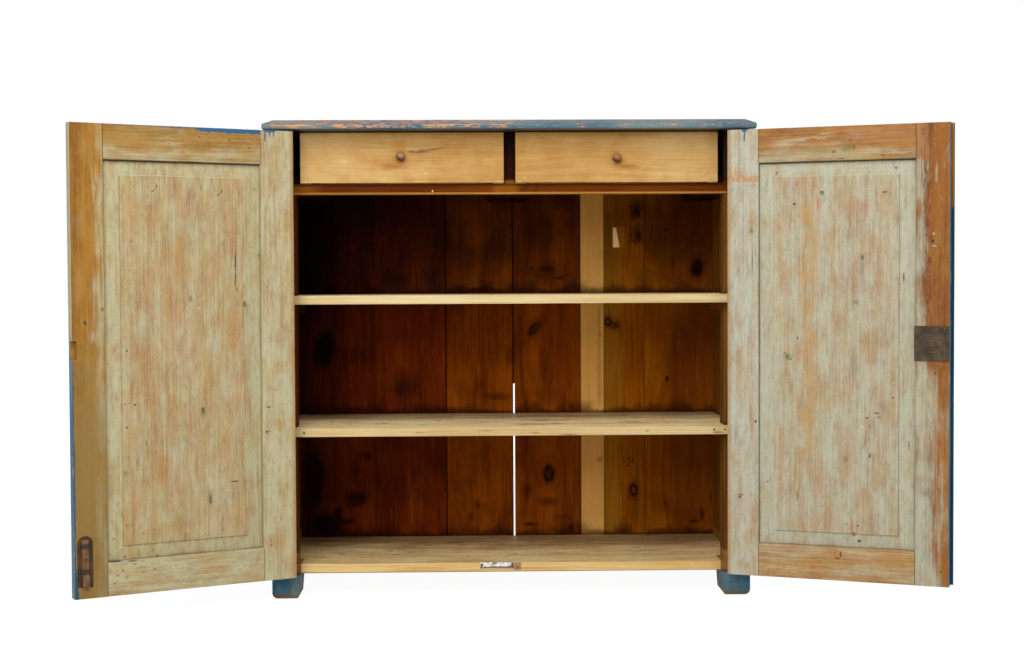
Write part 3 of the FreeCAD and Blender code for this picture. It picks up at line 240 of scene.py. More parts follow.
# %% Put marks on a face
def ragged(at, amount=0.004, size=0.012):
    """The face coordinates, pushed about a little, for marks with uneven edges."""
    noise = add(at.tree, "ShaderNodeTexNoise", at.face)
    fill(noise, {"Scale": 1 / size})
    return Outlet(noise.outputs[1]) * ((amount,) * 3) + at.face - (amount / 2,) * 3


def nearest(face, spots):
    """How far the nearest spot is, where 1 is its rim. A spot is x, z, half width and half height
    in millimetres, and a tilt in degrees where it leans."""
    closest = None
    for x, z, wide, high, *tilt in spots:
        turn = (0, math.radians(tilt[0]) if tilt else 0, 0)
        middle, size = (x / 1000, 0, z / 1000), (wide / 1000, 1000, high / 1000)
        distance = face.to("ShaderNodeMapping", middle, turn, size, vector_type="TEXTURE").length()
        closest = closest.least(distance) if closest else distance
    return closest


def marks(face, spots, edge):
    """A mask, 1 inside the spots."""
    return nearest(face, spots).ramp(1, edge)


def band(value, low, high, soft):
    """A mask, 1 where a value lies between two others."""
    return (value - low).ramp(-soft, soft) * (value - high).ramp(soft, -soft)

# %% [markdown]
# ## Pine
# A pine board is a slice through a stack of cones: yearly rings round the heart of the tree, pale
# in spring and brown in late summer. Rings are the distance from the heart, divided by a ring's
# width, with the whole part thrown away. The heart wanders along the tree, which a slow cloud
# does, and so the slice shows arches and long lines without any of them being drawn. A knot lifts
# the count of the rings round it, and so they close round it and the grain bends past. Fibres are
# a cloud pulled out along the grain.

# %% Grow rings and fibres
def year_rings(at, heart, ring, seed, knots):
    """0 to 1 across each year's growth, for a board cut beside a heart at (x, y) in its own lay."""
    slow = add(at.tree, "ShaderNodeTexNoise", at.grain + (seed, seed, seed))
    fill(slow, {"Scale": 1.6, "Detail": 2})
    sway = Outlet(slow.outputs[1]) * (0.03, 0.03, 0) + at.grain
    from_heart = ((sway - (*heart, 0)) * (1, 1, 0)).length()
    years = from_heart.cloud(0.016, 2) * 5 + from_heart / ring
    if knots:
        years = years + nearest(at.face, knots).ramp(3, 0.3, 0, 2)
    growth = years.fraction()
    return growth.ramp(0.35, 0.85) * growth.ramp(1, 0.9)


def fibres(at, across, along, seed):
    """Fine uneven lines that follow the grain."""
    return (at.grain + (seed, 0, seed)).cloud((across, along), 3, 0.6)


def patches(at, across, along, seed, detail=4):
    """Broad uneven patches, a little longer along the grain."""
    return (at.grain + (seed, seed, 0)).cloud((across, along), detail, 0.55)

# %% [markdown]
# ## Surface
# Paint and bare wood differ in gloss as well as in colour, and both are a little uneven to the
# touch. A bump gives the fibres their ridges, and a Bevel node rounds the light over every arris,
# which is what handling does to real edges. Old dry wood hardly mirrors the room, so its gloss is
# set low.

# %% Close a finish
def surface(at, colour, rough, height, depth=0.0006, arris=0.0012, metal=0, gloss=0.2):
    """Gives the shader its colour, its gloss and its bump, and hands back the material."""
    bump = add(at.tree, "ShaderNodeBump")
    rounded = Outlet(add(at.tree, "ShaderNodeBevel", arris, samples=4).outputs[0])
    fill(bump, {"Strength": 0.6, "Distance": depth, "Height": height, "Normal": rounded})
    look = {"Base Color": colour, "Roughness": rough, "Metallic": metal,
            "Specular IOR Level": gloss}
    fill(at.tree.nodes["Principled BSDF"], {**look, "Normal": Outlet(bump.outputs[0])})
    return at.material


def dress(node, material):
    """Puts a finish on a packed board or iron."""
    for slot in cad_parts[node].material_slots:
        slot.material = material

# %% [markdown]
# ## Bare pine
# The drawer fronts and shelves were never painted. Pine goes from cream to honey in the light and
# to red-brown in the dark, so one recipe with two colours makes all of it: the colour of the
# spring wood and that of the late wood. Broad patches lean towards the darker one, and the fibres
# break both up. A knot is a dark rim round a browner middle.

# %% Mix bare pine
KNOT_RIM, KNOT_HEART = (26, 8, 2), (70, 28, 6)


def bare_pine(at, spring, late, heart, ring, seed, figure=0.6, cloudy=0.5, knots=(), fibrous=0.5):
    """Colour and height of bare wood. Figure, cloudy and fibrous say how much its rings, patches
    and fibres show."""
    rings = year_rings(at, heart, ring, seed, knots)
    at.lines = fibres(at, 0.0035, 0.16, seed)
    at.broad = patches(at, 0.06, 0.4, seed)
    share = rings * figure + at.lines.ramp(0.35, 0.75, 0, fibrous)
    share = share + at.broad.ramp(0.3, 0.7, 0, cloudy)
    height = rings * 0.4 + at.lines
    colour = mix(share.ramp(0, 1.3), spring, late)
    if knots:
        near = nearest(ragged(at, 0.006, 0.02), knots)
        colour = colour.stain(near.ramp(2.2, 1), KNOT_HEART, 0.5)
        rim = near.ramp(1.15, 0.9) * near.ramp(0.3, 0.75, 0.72, 1)
        colour = colour.stain(rim, KNOT_RIM, 0.95)
    return colour, height

# %% [markdown]
# ## The grey-green wash inside the doors
# The inner faces were brushed once with thin paint, now rubbed away along the grain: what is left
# sits between the fibres and thickens in patches. So the wash's cover is fibres and patches added
# together and cut softly at one level; a lower level leaves more paint. Where hands wore one side
# of a board bare, the cover leans: a second function of place takes some of it away or gives it
# back.

# %% Brush on a thin wash
def wash(at, colour, pale, level, seed, lean):
    """Thin paint over a colour, where lines of two widths plus patches stand above the level."""
    cover = fibres(at, 0.0024, 0.16, seed + 3.1) * 0.32
    cover = cover + fibres(at, 0.012, 0.14, seed + 6.7) * 0.24
    cover = cover + patches(at, 0.04, 0.08, seed + 5.3, 9) * 0.44 - level
    if lean:
        cover = cover + lean(at)
    return colour.stain(cover.ramp(-0.12, 0.12), pale, 0.9)

# %% [markdown]
# ## Blue paint
# The outside is blue milk paint, thick enough to chip. It is gone from arrises and high places
# first, and there the pine shows through, orange from handling. Small chips are a sharp cut
# through a cloud, and a slow second cloud makes the blue itself paler and greyer in places.

# %% Lay on blue paint
BLUE, GREY_BLUE, DEEP_BLUE = (46, 100, 126), (108, 142, 156), (20, 62, 88)
CHIP_SIZE = (0.02, 0.07)


def blue_paint(at, colour, height, where, seed, wear=0.38, paint=(BLUE, GREY_BLUE), share=0.4,
               chip=CHIP_SIZE):
    """Blue over a colour inside the mask where, chipped where a cloud falls below wear."""
    moved = at.grain + (seed,) * 3
    chips = moved.cloud(chip, 6, 0.68) - wear
    cover = chips.ramp(-0.02, 0.02) * where
    faded = patches(at, 0.09, 0.3, seed + 8).ramp(0.4, 0.7, 0, share * 2)
    blue = mix(faded, *paint)
    blue = mix(at.lines.ramp(0.4, 0.75, 0, 0.35), blue, DEEP_BLUE)
    lifted = height * 0.5 + cover * 0.5
    return mix(cover, colour, blue), lifted, cover

# %% [markdown]
# ## The two doors
# Each door is five boards, and each board has its own grain and its own mixture of wash and bare
# wood: the hinge stiles and panels are mostly washed, the free stiles and top rails mostly bare
# and orange from a century of hands. Outside all ten are blue, so depth through the door chooses
# between them. Every board also carries its own marks: iron stains round lost nails, rust spots,
# knots that bleed green through the wash, golden rubbed places and white specks.

# %% Marks on the doors
TINTS = {
    "iron": ((58, 48, 40), 0.85, 0.5),
    "rust": ((142, 82, 34), 0.75, 0.4),
    "red": ((170, 112, 70), 0.45, 0),
    "olive": ((142, 120, 62), 0.7, 0),
    "gold": ((170, 126, 66), 0.75, 0),
    "orange": ((186, 116, 50), 0.7, 0.1),
    "moss": ((108, 108, 76), 0.65, 0.1),
    "grey": ((116, 118, 110), 0.45, 0.1),
    "rub": ((196, 188, 156), 0.55, 0),
    "ring": ((64, 46, 28), 0.85, 0.4),
    "pale": ((214, 200, 166), 0.7, 0.2),
    "drip": ((34, 92, 134), 0.95, 0.75),
}
MARKS = {
    "left_door_panel": {
        "iron": [(123, 708, 5, 8), (228, 464, 5, 9), (408, 433, 2.5, 4), (388, 484, 4, 3),
                 (406, 606, 3, 4), (145.5, 806, 2.6, 34), (146, 772, 2.2, 16),
                 (333, 977, 1.8, 9, -12), (341, 967, 1.6, 8, -55), (178, 968, 1.8, 7, -20),
                 (186, 961, 1.5, 8, -60), (212, 256, 3.5, 13), (153, 295, 14, 2.2),
                 (411, 485, 2, 2), (418, 486, 1.6, 1.6), (404, 488, 1.5, 1.5), (364, 396, 1.6, 9)],
        "rust": [(146.5, 757, 3.6, 12), (143, 743, 3, 11, 22), (440, 183, 4, 4), (397, 212, 3, 3),
                 (412, 213, 3.5, 3.5), (415, 140, 5, 4), (409, 122, 4, 3), (339, 137, 5, 4),
                 (349, 150, 4, 3), (372, 190, 3, 3)],
        "red": [(300, 700, 34, 80), (352, 560, 26, 120), (150, 640, 30, 90), (340, 900, 30, 60)],
        "gold": [(181, 387, 30, 44), (240, 562, 20, 26), (330, 330, 30, 70), (395, 250, 20, 50),
                 (280, 820, 26, 90), (120, 480, 14, 50), (300, 200, 40, 24)],
        "moss": [(256, 721, 10, 11), (123, 706, 10, 12), (227, 975, 4, 16), (227, 458, 10, 20),
                 (213, 262, 10, 26), (412, 330, 8, 12), (95, 976, 4, 6), (394, 853, 5, 6)],
        "pale": [(238, 700, 3, 4)],
        "rub": [(330, 735, 12, 2.5, 12), (345, 945, 14, 3)],
    },
    "left_door_free_stile": {
        "iron": [(502, 671, 4.5, 7), (472, 373, 1.4, 12), (472, 352, 1.2, 8), (449, 702, 3, 6),
                 (512, 620, 2, 3)],
        "rust": [(462, 700, 5, 7)],
        "red": [(498, 440, 7, 9), (522, 250, 5, 40)],
        "gold": [(515, 760, 18, 100), (505, 900, 14, 60), (500, 1060, 24, 50)],
        "olive": [(500, 300, 44, 260), (490, 560, 34, 90)],
        "rub": [(470, 830, 12, 34), (466, 940, 8, 70), (480, 970, 5, 70, 6), (470, 560, 12, 60),
                (486, 640, 14, 20), (474, 250, 12, 90)],
    },
    "left_door_hinge_stile": {
        "iron": [(69, 465, 4, 3), (75, 407, 3, 4), (64, 139, 2.5, 5), (70, 408, 10, 1.2),
                 (66, 466, 12, 1)],
        "gold": [(40, 420, 18, 26), (30, 260, 24, 50), (45, 150, 40, 60), (20, 90, 34, 44),
                 (40, 560, 26, 30)],
        "rust": [(64, 150, 2, 8), (40, 200, 2, 3)],
        "drip": [(71, 1099, 2.2, 15), (59, 1106, 2, 9), (50, 1106, 2, 9), (60, 1112, 18, 4)],
    },
    "left_door_bottom_rail": {
        "iron": [(440, 133.5, 18, 2.6), (400, 131, 14, 2)],
        "rust": [(435, 101, 4, 3), (423, 111, 4.5, 4), (349, 108, 5, 4), (442, 84, 4, 3.5),
                 (414, 96, 3.5, 3), (396, 124, 5, 3), (375, 104, 3, 3), (300, 112, 3, 3),
                 (452, 112, 3, 3), (330, 92, 3, 2)],
        "gold": [(200, 96, 60, 10), (100, 110, 16, 14), (380, 78, 60, 8)],
        "rub": [(300, 116, 90, 10), (140, 90, 50, 12)],
    },
    "left_door_top_rail": {
        "orange": [(272, 1056, 11, 9)],
        "gold": [(400, 1085, 60, 14), (96, 1080, 14, 22)],
        "iron": [(232, 1092, 3, 2), (110, 1072, 5, 1.5), (160, 1086, 4, 1.5)],
        "rub": [(190, 1052, 90, 9), (380, 1048, 70, 9), (300, 1075, 50, 5)],
    },
    "right_door_panel": {
        "iron": [(225, 962, 5, 4), (160, 936, 5, 4), (319, 809, 4, 7), (413, 763, 2, 15),
                 (390, 486, 3, 3), (352, 450, 9, 2), (331, 438, 4, 3), (337, 348, 3, 5),
                 (426, 376, 1.6, 15), (168, 250, 1.6, 18), (313, 150, 6, 5), (144, 578, 3, 8),
                 (152, 572, 4, 2), (138, 586, 4, 2), (168, 622, 2, 6), (370, 959, 7, 3),
                 (395, 1014, 3, 4), (118, 1010, 3, 3), (310, 186, 3, 3), (96, 280, 3, 3)],
        "rust": [(337, 352, 4, 6), (358, 440, 8, 3, 20), (300, 166, 7, 8), (283, 188, 3, 3)],
        "red": [(141, 543, 6, 2), (132, 471, 2, 5), (255, 760, 12, 8), (372, 955, 16, 16),
                (300, 930, 60, 24), (182, 210, 16, 60), (268, 840, 10, 60)],
        "gold": [(193, 900, 16, 60), (186, 740, 9, 110), (193, 560, 17, 90), (198, 440, 18, 110),
                 (218, 330, 14, 60), (295, 182, 14, 22), (160, 300, 8, 60)],
        "orange": [(335, 818, 5, 5), (216, 934, 5, 26), (182, 800, 5, 70)],
        "moss": [(144, 578, 16, 13), (281, 340, 8, 12), (319, 812, 10, 11), (304, 706, 10, 8),
                 (226, 958, 8, 8)],
        "grey": [(319, 780, 8, 40), (300, 560, 12, 60)],
        "pale": [(320, 417, 4, 5), (156, 888, 3, 7)],
    },
    "right_door_free_stile": {
        "iron": [(479, 845, 5, 6), (457, 1099, 6, 5), (456, 1091, 3, 6), (500, 90, 3, 3),
                 (486, 545, 3, 3)],
        "red": [(470, 1040, 16, 30), (477, 780, 7, 70), (476, 700, 8, 50), (472, 930, 8, 60),
                (470, 990, 12, 18), (484, 430, 16, 8), (462, 428, 10, 3), (462, 226, 10, 3),
                (500, 400, 8, 60), (496, 120, 14, 30)],
        "pale": [(481, 862, 4, 4), (483, 834, 8, 2)],
        "rub": [(500, 300, 12, 60), (494, 180, 12, 50), (486, 480, 10, 60), (488, 1000, 4, 40),
                (498, 330, 5, 16)],
    },
    "right_door_hinge_stile": {
        "iron": [(69, 423, 4, 5), (31, 242, 5, 4), (61, 800, 1.4, 26), (36, 248, 4, 2)],
        "red": [(22, 470, 4, 20), (66, 170, 4, 24), (24, 440, 3, 14), (60, 876, 3, 10),
                (34, 210, 4, 10)],
        "moss": [(60, 874, 8, 9), (31, 246, 7, 8)],
        "gold": [(52, 780, 4, 20), (30, 560, 14, 90), (40, 80, 30, 20), (18, 330, 8, 40)],
        "drip": [(42, 1098, 2.2, 16), (42, 1112, 8, 5)],
    },
    "right_door_bottom_rail": {
        "gold": [(390, 100, 80, 22, -4), (200, 92, 70, 16), (430, 80, 50, 20), (264, 117, 22, 18)],
        "ring": [(264, 117, 10.5, 12)],
        "iron": [(271, 118, 2.6, 9), (264, 108, 7, 2.2)],
        "rub": [(110, 80, 14, 8), (330, 122, 80, 6)],
    },
    "right_door_top_rail": {
        "olive": [(285, 1064, 34, 22), (220, 1058, 80, 14)],
        "moss": [(289, 1066, 12, 10), (278, 1060, 8, 8)],
        "iron": [(300, 1064, 1.6, 8), (292, 1080, 8, 1.4), (366, 1044, 8, 1.4),
                 (270, 1038, 10, 1.2)],
        "rust": [(253, 1055, 9, 5)],
        "red": [(390, 1078, 70, 26), (330, 1080, 40, 16)],
        "rub": [(200, 1088, 90, 4, -3), (240, 1098, 34, 4, -6), (400, 1048, 60, 4),
                (180, 1048, 90, 10), (130, 1076, 40, 12)],
    },
}
print("marks on the doors:",
      sum(len(spots) for board in MARKS.values() for spots in board.values()))

# %% Finish the doors
BARE_TAN = ((184, 154, 112), (160, 122, 76))
BARE_PINK = ((182, 154, 122), (160, 122, 86))
BARE_GOLD = ((166, 128, 66), (132, 92, 38))
BARE_ORANGE = ((166, 114, 34), (114, 70, 14))
BARE_RED = ((154, 94, 36), (108, 54, 18))
WASH_LEFT, WASH_RIGHT = (182, 178, 140), (182, 184, 161)
FREE_EDGE = {"left": 0.53225, "right": 0.51725}
DIRT = (62, 54, 40)
# a door's opening and its panel's raised field: left, right, low and high, in metres from the hinge
LEFT_OPENING, LEFT_FIELD = (0.0822, 0.4573, 0.1335, 1.0345), (0.12025, 0.41925, 0.1665, 1.0015)
RIGHT_OPENING, RIGHT_FIELD = (0.0758, 0.4413, 0.1335, 1.0345), (0.11375, 0.40325, 0.1665, 1.0015)


def speckle(at, colour, seed, strength):
    """Fine dirt: short dark pores along the grain, small stains, and specks rubbed clean."""
    moved = at.grain + (0, seed, seed)
    pores = moved.cloud((0.0016, 0.014), 2, 0.6)
    colour = colour.stain(pores.ramp(0.57, 0.76), DIRT, strength * 1.4)
    dust = moved.cloud(0.008, 8, 0.8)
    colour = colour.stain(dust.ramp(0.53, 0.72), (126, 96, 58), strength * 1.3)
    return colour.stain(dust.ramp(0.46, 0.26), (214, 206, 176), strength * 1.1)


def put_marks(at, colour, board):
    """Every mark that a board carries, kind by kind. Soft ones break up between the fibres."""
    near, far = ragged(at, 0.0025, 0.01), ragged(at, 0.012, 0.012)
    for kind, spots in MARKS.get(board, {}).items():
        tint, strength, edge = TINTS[kind]
        mask = marks(near if edge else far, spots, edge)
        if kind == "ring":
            mask = mask * nearest(near, spots).ramp(0.55, 0.75)
        if not edge:
            mask = mask * at.lines.ramp(0.3, 0.62, 0.25, 1)
        colour = colour.stain(mask, tint, strength)
    return colour


def door_board(name, lay, bare, pale, level, seed, blotchy, lean=None, extra=None, dusty=0.3):
    """One board of a door: pine, wash, stains and marks inside, and blue beyond a depth."""
    side = name.split("_door")[0]
    at = wood_finish(name, side + "_door", lay)
    colour, height = bare_pine(at, *bare, (0, 0.12), 0.005, seed, 0.35, 0.7, fibrous=0.3)
    colour = wash(at, colour, pale, level, seed, lean)
    blotches = (at.face + (seed, 0, seed)).cloud(0.06, 6, 0.62)
    colour = colour.stain(blotches.ramp(0.5, 0.72), bare[0], blotchy)
    browner = (at.grain + (seed,) * 3).cloud((0.012, 0.04), 6, 0.7)
    colour = colour.stain(browner.ramp(0.47, 0.75), (122, 88, 50), 0.42)
    chalky = min(1, dusty * 3)
    colour = colour.stain(browner.ramp(0.47, 0.25), (206, 204, 168), 0.3 * chalky)
    golden = (at.grain + (seed, 2, 0)).cloud((0.03, 0.08), 6, 0.65)
    colour = colour.stain(golden.ramp(0.46, 0.72), (172, 138, 62), 0.38)
    colour = colour.stain(golden.ramp(0.46, 0.26), (182, 188, 174), 0.32 * chalky)
    colour = colour.stain(at.lines.ramp(0.5, 0.7), (122, 88, 56), 0.26)
    colour = colour.stain(at.x.ramp(0.014, 0.004), (166, 116, 56), 0.6)
    colour = put_marks(at, colour, name)
    colour = speckle(at, colour, seed, dusty)
    if extra:
        colour = extra(at, colour)
    uneven = at.face.cloud(0.03, 3)
    depth = uneven * 0.008 + at.y
    limit = 0.0215 if name.endswith("panel") else 0.013
    outside = depth.ramp(limit + 0.0005, limit - 0.0005)
    free_edge = at.x.ramp(FREE_EDGE[side] - 0.0008, FREE_EDGE[side] - 0.0003)
    colour = colour.stain(free_edge, (206, 198, 156), 0.8)
    top = {"left": (0.68, 0.58), "right": (1.3, 1.2)}[side]
    outside = outside.most(free_edge * at.z.ramp(*top))
    colour, height, paint = blue_paint(at, colour, height, outside, seed)
    rough = paint.ramp(0, 1, 0.7, 0.5)
    dress(name, surface(at, colour, rough, height))


def edge_distance(at, left, right, low, high):
    """How far inside a rectangle a place is, in metres: to its sides and to its ends."""
    sides = (at.x - left).least(right - at.x)
    ends = (at.z - low).least(high - at.z)
    return sides.least(ends)


def panel_layers(opening, field):
    """Dirt where a panel meets its frame, painted shade under the top rail, and a painted
    highlight and painted shade along the field's edges.
    """

    def layer(at, colour):
        close = edge_distance(at, *opening)
        wide = at.broad.ramp(0.3, 0.7, 0.002, 0.007)
        colour = colour.stain((close / wide).ramp(1, 0), DIRT, 0.5)
        # painted shade: the top rail's shadow on the panel
        under = (opening[3] - at.z).ramp(0.006, 0.002)
        colour = colour.stain(under, (40, 34, 22), 0.75)
        left, right, low, high = field
        # painted highlight on the field's top and left edges, painted shade on the other two
        line = band(edge_distance(at, *field), 0, 0.0012, 0.0008)
        painted_light_side = at.z.ramp(high - 0.004, high - 0.002).most(at.x.ramp(left + 0.004, left + 0.002))
        colour = colour.stain(line * painted_light_side, (214, 204, 168), 0.6)
        painted_shade_side = line * (1 - painted_light_side)
        return colour.stain(painted_shade_side, (112, 92, 64), 0.5)

    return layer


def rail_ends(left, right):
    """The dark joint lines where a rail meets its stiles."""

    def layer(at, colour):
        near = (at.x - left).least(right - at.x)
        return colour.stain(near.ramp(0.0016, 0.0006), DIRT, 0.75)

    return layer


left_ends, right_ends = rail_ends(*LEFT_OPENING[:2]), rail_ends(*RIGHT_OPENING[:2])


def blue_lip(at, colour):
    """Blue that ran over the top rail's edge from the outer face."""
    reach = band(at.x, 0.075, 0.236, 0.012) + band(at.x, 0.236, 0.33, 0.03) * 0.25
    wave = at.face.cloud(0.013, 5, 0.7)
    foot = reach * -0.0105 + 1.1137
    foot = (wave - 0.5) * 0.02 + foot
    mask = (at.z - foot).ramp(0, 0.0008)
    return left_ends(at, colour.stain(mask, (40, 92, 128), 0.95))


def saw_teeth(at, colour):
    """A band where the wash never reached: bare orange wood with ragged teeth above it."""
    teeth = (at.face * (260, 0, 6)).cloud(1, 1, 0.5)
    tall = at.x.ramp(0.07, 0.01, 0.014, 0.07)
    crest = teeth.ramp(0.42, 0.8) * tall + 1.002
    below = (at.z - crest).ramp(0.001, -0.001)
    mask = below * at.z.ramp(0.988, 0.992)
    broken = at.face.cloud((0.004, 0.012), 5, 0.7).ramp(0.38, 0.54, 0.1, 1)
    return colour.stain(mask * broken, (188, 124, 58), 0.9)


def split_line(at, colour):
    """A dark seam down the right free stile, where two boards were glued."""
    wander = at.z.cloud(0.3, 2) * 0.006 + at.x
    mask = band(wander, 0.4672, 0.4682, 0.0006)
    above = at.z.ramp(0.62, 0.7, 0.3, 1)
    colour = colour.stain(mask * above, DIRT, 0.7)
    noisy = at.face.cloud((0.004, 0.016), 5, 0.7).ramp(0.42, 0.62)
    streak = band(wander, 0.462, 0.482, 0.006) * (noisy * above)
    colour = colour.stain(streak, (88, 46, 26), 0.65)
    torn = at.face.cloud((0.008, 0.05), 6, 0.65)
    bare_head = (torn * 0.12 + at.z).ramp(1.086, 1.098)
    colour = colour.stain(bare_head * at.x.ramp(0.472, 0.466), BARE_RED[0], 0.75)
    cracked = at.face.cloud((0.01, 0.024), 5, 0.7) * 0.02 + at.x
    crack = band(cracked, 0.4695, 0.4708, 0.0007) * band(at.z, 0.84, 1.1, 0.02)
    return colour.stain(crack, (70, 36, 20), 0.75)


def gold_strip(at, colour):
    """A resinous strip down the right panel that the wash didn't hold on."""
    uneven = at.face.cloud(0.05, 5, 0.6) * 0.03 + at.x
    strip = band(uneven, 0.188, 0.226, 0.006) * band(at.z, 0.33, 0.98, 0.06)
    uneven = at.face.cloud(0.03, 5, 0.65).ramp(0.4, 0.62)
    strip = strip * (uneven * at.lines.ramp(0.25, 0.6, 0.4, 1))
    return colour.stain(strip, (184, 144, 88), 0.7)


def blue_lap(at, colour):
    """Blue from the free edge laps on to the inner face, and the wood is browner near the foot."""
    wave = (at.face.cloud(0.03, 4) - 0.5) * 0.006
    lap = at.z.ramp(0.62, 0.55, -0.004, 0.0022) + at.z.ramp(0.14, 0.06, 0, 0.006) + wave
    inner = at.x + lap - (FREE_EDGE["left"] - 0.0008)
    uneven = at.face.cloud(0.04, 4) * 0.3 + at.z
    colour = colour.stain(uneven.ramp(0.85, 0.55), (136, 112, 62), 0.6)
    return colour.stain(inner.ramp(-0.0005, 0.0005), (26, 70, 92), 0.9)


def thicker_round(field):
    """More wash on a panel's margin than on its raised field."""
    def lean(at):
        uneven = (at.face.cloud(0.02, 5) - 0.5) * 0.02
        return (edge_distance(at, *field) + uneven).ramp(0.004, -0.003, 0, 0.09)

    return lean


def slope(axis, start, end, amount):
    """Cover that goes from none lost to an amount lost along one axis."""
    return lambda at: getattr(at, axis).ramp(start, end, 0, -amount)


def worn_above_lock(at):
    """The right free stile lost its wash above the lock, and only at the outer edge below it."""
    above = at.x.ramp(0.458, 0.480, 0, -0.3)
    below = at.x.ramp(0.455, 0.510, 0.06, -0.12)
    return mix(at.z.ramp(0.50, 0.60), below, above)


def worn_upper_corner(at):
    """The right top rail is bare towards its upper and outer side."""
    return at.z.ramp(1.044, 1.09, 0.04, -0.13) + at.x.ramp(0.26, 0.44, 0, -0.08)


def right_panel_layers(at, colour):
    return panel_layers(RIGHT_OPENING, RIGHT_FIELD)(at, gold_strip(at, colour))


door_board("left_door_panel", "up", BARE_TAN, WASH_LEFT, 0.52, 1, 0.3, thicker_round(LEFT_FIELD),
           panel_layers(LEFT_OPENING, LEFT_FIELD))
door_board("left_door_hinge_stile", "up", BARE_TAN, (191, 187, 152), 0.47, 2, 0.25,
           slope("z", 0.8, 0.3, -0.12))
door_board("left_door_free_stile", "up", BARE_ORANGE, WASH_LEFT, 0.51, 3, 0.5,
           slope("x", 0.460, 0.508, 0.18), blue_lap, 0.15)
door_board("left_door_top_rail", "across", BARE_GOLD, WASH_LEFT, 0.50, 4, 0.5,
           slope("z", 1.046, 1.080, 0.12), blue_lip, 0.2)
door_board("left_door_bottom_rail", "across", BARE_TAN, (184, 180, 142), 0.46, 5, 0.4,
           extra=left_ends)
door_board("right_door_panel", "up", BARE_PINK, WASH_RIGHT, 0.48, 6, 0.25,
           thicker_round(RIGHT_FIELD), right_panel_layers)
door_board("right_door_hinge_stile", "up", BARE_PINK, (185, 188, 170), 0.45, 7, 0.25,
           extra=saw_teeth)
door_board("right_door_free_stile", "up", BARE_RED, WASH_RIGHT, 0.47, 8, 0.4, worn_above_lock,
           split_line, 0.15)
door_board("right_door_top_rail", "across", ((172, 118, 62), (130, 76, 30)), (178, 174, 138), 0.49,
           9, 0.4, worn_upper_corner, right_ends, 0.2)
door_board("right_door_bottom_rail", "across", ((184, 142, 92), (160, 108, 54)), (184, 178, 146),
           0.54, 10, 0.5, extra=right_ends)

# %% [markdown]
# ## The boards at the back
# Seven upright boards close the back. Nobody painted or cleaned them inside, so they went red-
# brown in the dark. Painted shade makes them darker still towards the top, under the drawers, and
# nearly black up the left, where the left door keeps the light away; soot and painted shade share
# one colour. The fifth is a newer pale strip, and the sixth is golden on the side that a lost
# batten once covered. Dirt gathers above each shelf. All seven share one recipe; two colours, a
# heart and a list of knots make them differ.

# %% Finish the back boards
SHELF_TOPS = (0.078, 0.406, 0.725)
GRIME = (26, 10, 4)
RAW_BACK = ((176, 150, 116), (136, 108, 76))


def grime(at, colour, strength=0.8, height=0.05):
    """Dirt that gathers on an upright board just above each shelf."""
    dirt = None
    rise = at.face.cloud(0.05, 4).ramp(0.25, 0.75, 0.006, height)
    for foot in SHELF_TOPS:
        above = (at.z - foot) / rise
        near = above.ramp(1, 0) * at.z.ramp(foot - 0.02, foot - 0.018)
        dirt = dirt.most(near) if dirt else near
    return colour.stain(dirt, GRIME, strength)


def outer_back(at, colour, seam, browner):
    """Raw wood on the side that stood against the wall, greyer or browner from board to board."""
    weathered = mix(at.lines.ramp(0.3, 0.7), *RAW_BACK)
    weathered = mix(browner, weathered, (146, 100, 54))
    stained = at.face.cloud(0.09, 6, 0.6).ramp(0.45, 0.7)
    weathered = weathered.stain(stained, (104, 78, 50), 0.6)
    weathered = weathered.stain(seam, GRIME, 0.9)
    return colour.stain(at.y.ramp(0.3795, 0.3802), weathered)


PLANK_EDGES = (-0.574, -0.351, -0.162, 0.016, 0.196, 0.259, 0.366, 0.574)
# soot, and painted shade, share this near-black
SOOT_AND_SHADE = (10, 2, 0)


def back_plank(number, light, dark, seed, heart, figure, knots=(), extra=None, soot_and_shade=0.6, seam=0.9,
               last=None):
    """One back board. Extra marks lie under the dirt, soot and painted shade, last ones over them.
    """
    at = wood_finish(f"back_plank_{number}")
    colour, height = bare_pine(at, light, dark, heart, 0.0065, seed, figure, 0.7, knots, 0.28)
    blotches = patches(at, 0.12, 0.16, seed + 2).ramp(0.42, 0.7, 0, 0.5)
    colour = mix(blotches, colour, dark)
    fine = at.grain.cloud((0.008, 0.09), 7, 0.7)
    colour = colour.stain(fine.ramp(0.5, 0.75), SOOT_AND_SHADE, soot_and_shade * 0.6)
    colour = colour.stain(fine.ramp(0.5, 0.25), (196, 120, 26), 0.16)
    soft = at.face.cloud(0.1, 6, 0.55).ramp(0.48, 0.75)
    colour = colour.stain(soft, SOOT_AND_SHADE, soot_and_shade * 0.6)
    colour = grime(at, extra(at, colour))
    left, right = PLANK_EDGES[number - 1 : number + 1]
    if number == 2:  # board 1 draws the seam between them
        left = -1
    near = (at.x - left).least(right - at.x)
    dark_seam = near.ramp(0.0026, 0.0012)
    colour = colour.stain(dark_seam, SOOT_AND_SHADE, seam)
    # painted shade: darker towards the top, in the compartment under the drawers
    upper = at.z.ramp(0.70, 0.98, 0.55, 1) + at.face.cloud(0.1, 4).ramp(0.3, 0.7, -0.15, 0.15)
    upper = upper * at.z.ramp(0.69, 0.72)
    colour = colour.stain(upper, SOOT_AND_SHADE, soot_and_shade)
    if last:
        colour = last(at, colour)
    colour = outer_back(at, colour, dark_seam, number * 3 % 7 / 9)
    dress(f"back_plank_{number}", surface(at, colour, 0.7, height, gloss=0.03))


